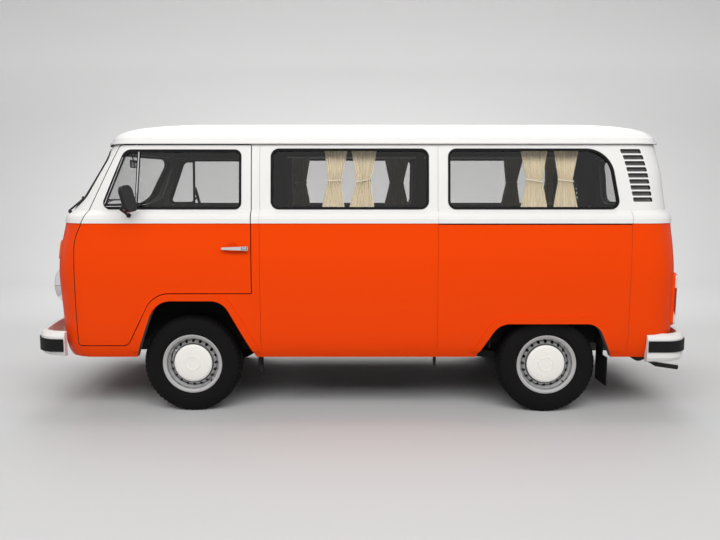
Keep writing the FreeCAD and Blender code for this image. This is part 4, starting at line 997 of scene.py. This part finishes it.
def stage_material():
    """Grey stage, graded along its depth and height where it is looked at directly."""
    mat = bpy.data.materials.new("studio_grey")
    mat.use_nodes = True
    tree = mat.node_tree
    shader = tree.nodes["Principled BSDF"]
    shader.inputs["Roughness"].default_value = STAGE_ROUGH
    shader.inputs["Specular IOR Level"].default_value = STAGE_SPECULAR
    coords = tree.nodes.new("ShaderNodeTexCoord")
    parts = tree.nodes.new("ShaderNodeSeparateXYZ")
    tree.links.new(coords.outputs["Object"], parts.inputs["Vector"])
    grade = ramp(tree, parts.outputs["Y"],
                 [(y, (grey * red, grey, grey, 1.0)) for y, grey, red in FLOOR_GRADE])
    shine = ramp(tree, parts.outputs["Z"],
                 [(z, (level, level, level, 1.0)) for z, level in WALL_GLOW])
    path = tree.nodes.new("ShaderNodeLightPath")
    mix = tree.nodes.new("ShaderNodeMix")
    mix.data_type = "RGBA"
    mix.inputs["A"].default_value = STAGE_GREY
    tree.links.new(path.outputs["Is Camera Ray"], mix.inputs["Factor"])
    tree.links.new(grade, mix.inputs["B"])
    tree.links.new(mix.outputs["Result"], shader.inputs["Base Color"])
    glow = tree.nodes.new("ShaderNodeMath")
    glow.operation = "MULTIPLY"
    tree.links.new(path.outputs["Is Camera Ray"], glow.inputs[0])
    tree.links.new(shine, glow.inputs[1])
    tree.links.new(glow.outputs["Value"], shader.inputs["Emission Strength"])
    return mat


def stage_floor():
    """Floor that curves up into a plain backdrop."""
    rows = [(STAGE_FRONT_Y, 0.0)]
    for i in range(STAGE_BEND_STEPS + 1):
        a = math.pi / 2 * i / STAGE_BEND_STEPS
        rows.append((STAGE_BEND_Y + STAGE_BEND * math.sin(a),
                     STAGE_BEND - STAGE_BEND * math.cos(a)))
    rows.append((STAGE_BEND_Y + STAGE_BEND, STAGE_TOP))
    verts, faces = [], []
    for y, z in rows:
        verts += [(-STAGE_HALF_WIDTH, y, z), (STAGE_HALF_WIDTH, y, z)]
    for i in range(len(rows) - 1):
        faces.append((2 * i, 2 * i + 1, 2 * i + 3, 2 * i + 2))
    mesh = bpy.data.meshes.new("stage")
    mesh.from_pydata(verts, [], faces)
    mesh.validate()
    obj = bpy.data.objects.new("stage", mesh)
    bpy.context.scene.collection.objects.link(obj)
    mesh.shade_smooth()
    mesh.materials.append(stage_material())


def area_light(name, place, aim, size, power):
    """Softbox at a place that faces a point; size as (width, height)."""
    light = bpy.data.lights.new(name, "AREA")
    light.shape = "RECTANGLE"
    light.size, light.size_y = size
    light.energy = power
    obj = bpy.data.objects.new(name, light)
    bpy.context.scene.collection.objects.link(obj)
    obj.location = place
    obj.rotation_euler = (Vector(aim) - Vector(place)).to_track_quat("-Z", "Y").to_euler()
    return obj


WORLD_LIGHT = 0.26
WORLD_IN_REFLECTIONS = 0.70


def surroundings():
    """Plain white world that looks brighter in reflections than it lights the van."""
    world = bpy.data.worlds.new("studio")
    bpy.context.scene.world = world
    world.use_nodes = True
    tree = world.node_tree
    background = tree.nodes["Background"]
    background.inputs["Color"].default_value = (1.0, 1.0, 1.0, 1.0)
    path = tree.nodes.new("ShaderNodeLightPath")
    level = tree.nodes.new("ShaderNodeMapRange")
    level.inputs["To Min"].default_value = WORLD_LIGHT
    level.inputs["To Max"].default_value = WORLD_IN_REFLECTIONS
    tree.links.new(path.outputs["Is Glossy Ray"], level.inputs["Value"])
    tree.links.new(level.outputs["Result"], background.inputs["Strength"])


CAMERA_PLACE = (-0.013, -5.35, 1.495)
CAMERA_PITCH_DEG = 6.54
CAMERA_FOCAL_PX = 688.7
PICTURE_WIDTH_PX = 720.0
SENSOR_WIDTH = 36.0


def side_camera():
    """Camera on the left of the van, at window height, pitched down a little."""
    lens = bpy.data.cameras.new("camera")
    lens.sensor_width = SENSOR_WIDTH
    lens.lens = CAMERA_FOCAL_PX / PICTURE_WIDTH_PX * SENSOR_WIDTH
    camera = bpy.data.objects.new("camera", lens)
    bpy.context.scene.collection.objects.link(camera)
    camera.location = CAMERA_PLACE
    camera.rotation_euler = (math.radians(90.0 - CAMERA_PITCH_DEG), 0.0, 0.0)
    bpy.context.scene.camera = camera


stage_floor()
area_light("top_softbox", place=(0.0, 2.6, 6.3), aim=(0.0, 0.2, 0.0), size=(9.0, 6.0),
           power=540.0)
fill = area_light("front_softbox", place=(0.0, -6.4, 5.9), aim=(0.0, 0.0, 1.0),
                  size=(12.0, 4.0), power=690.0)
fill.visible_glossy = False
surroundings()
side_camera()
bpy.context.scene.view_settings.view_transform = "Standard"
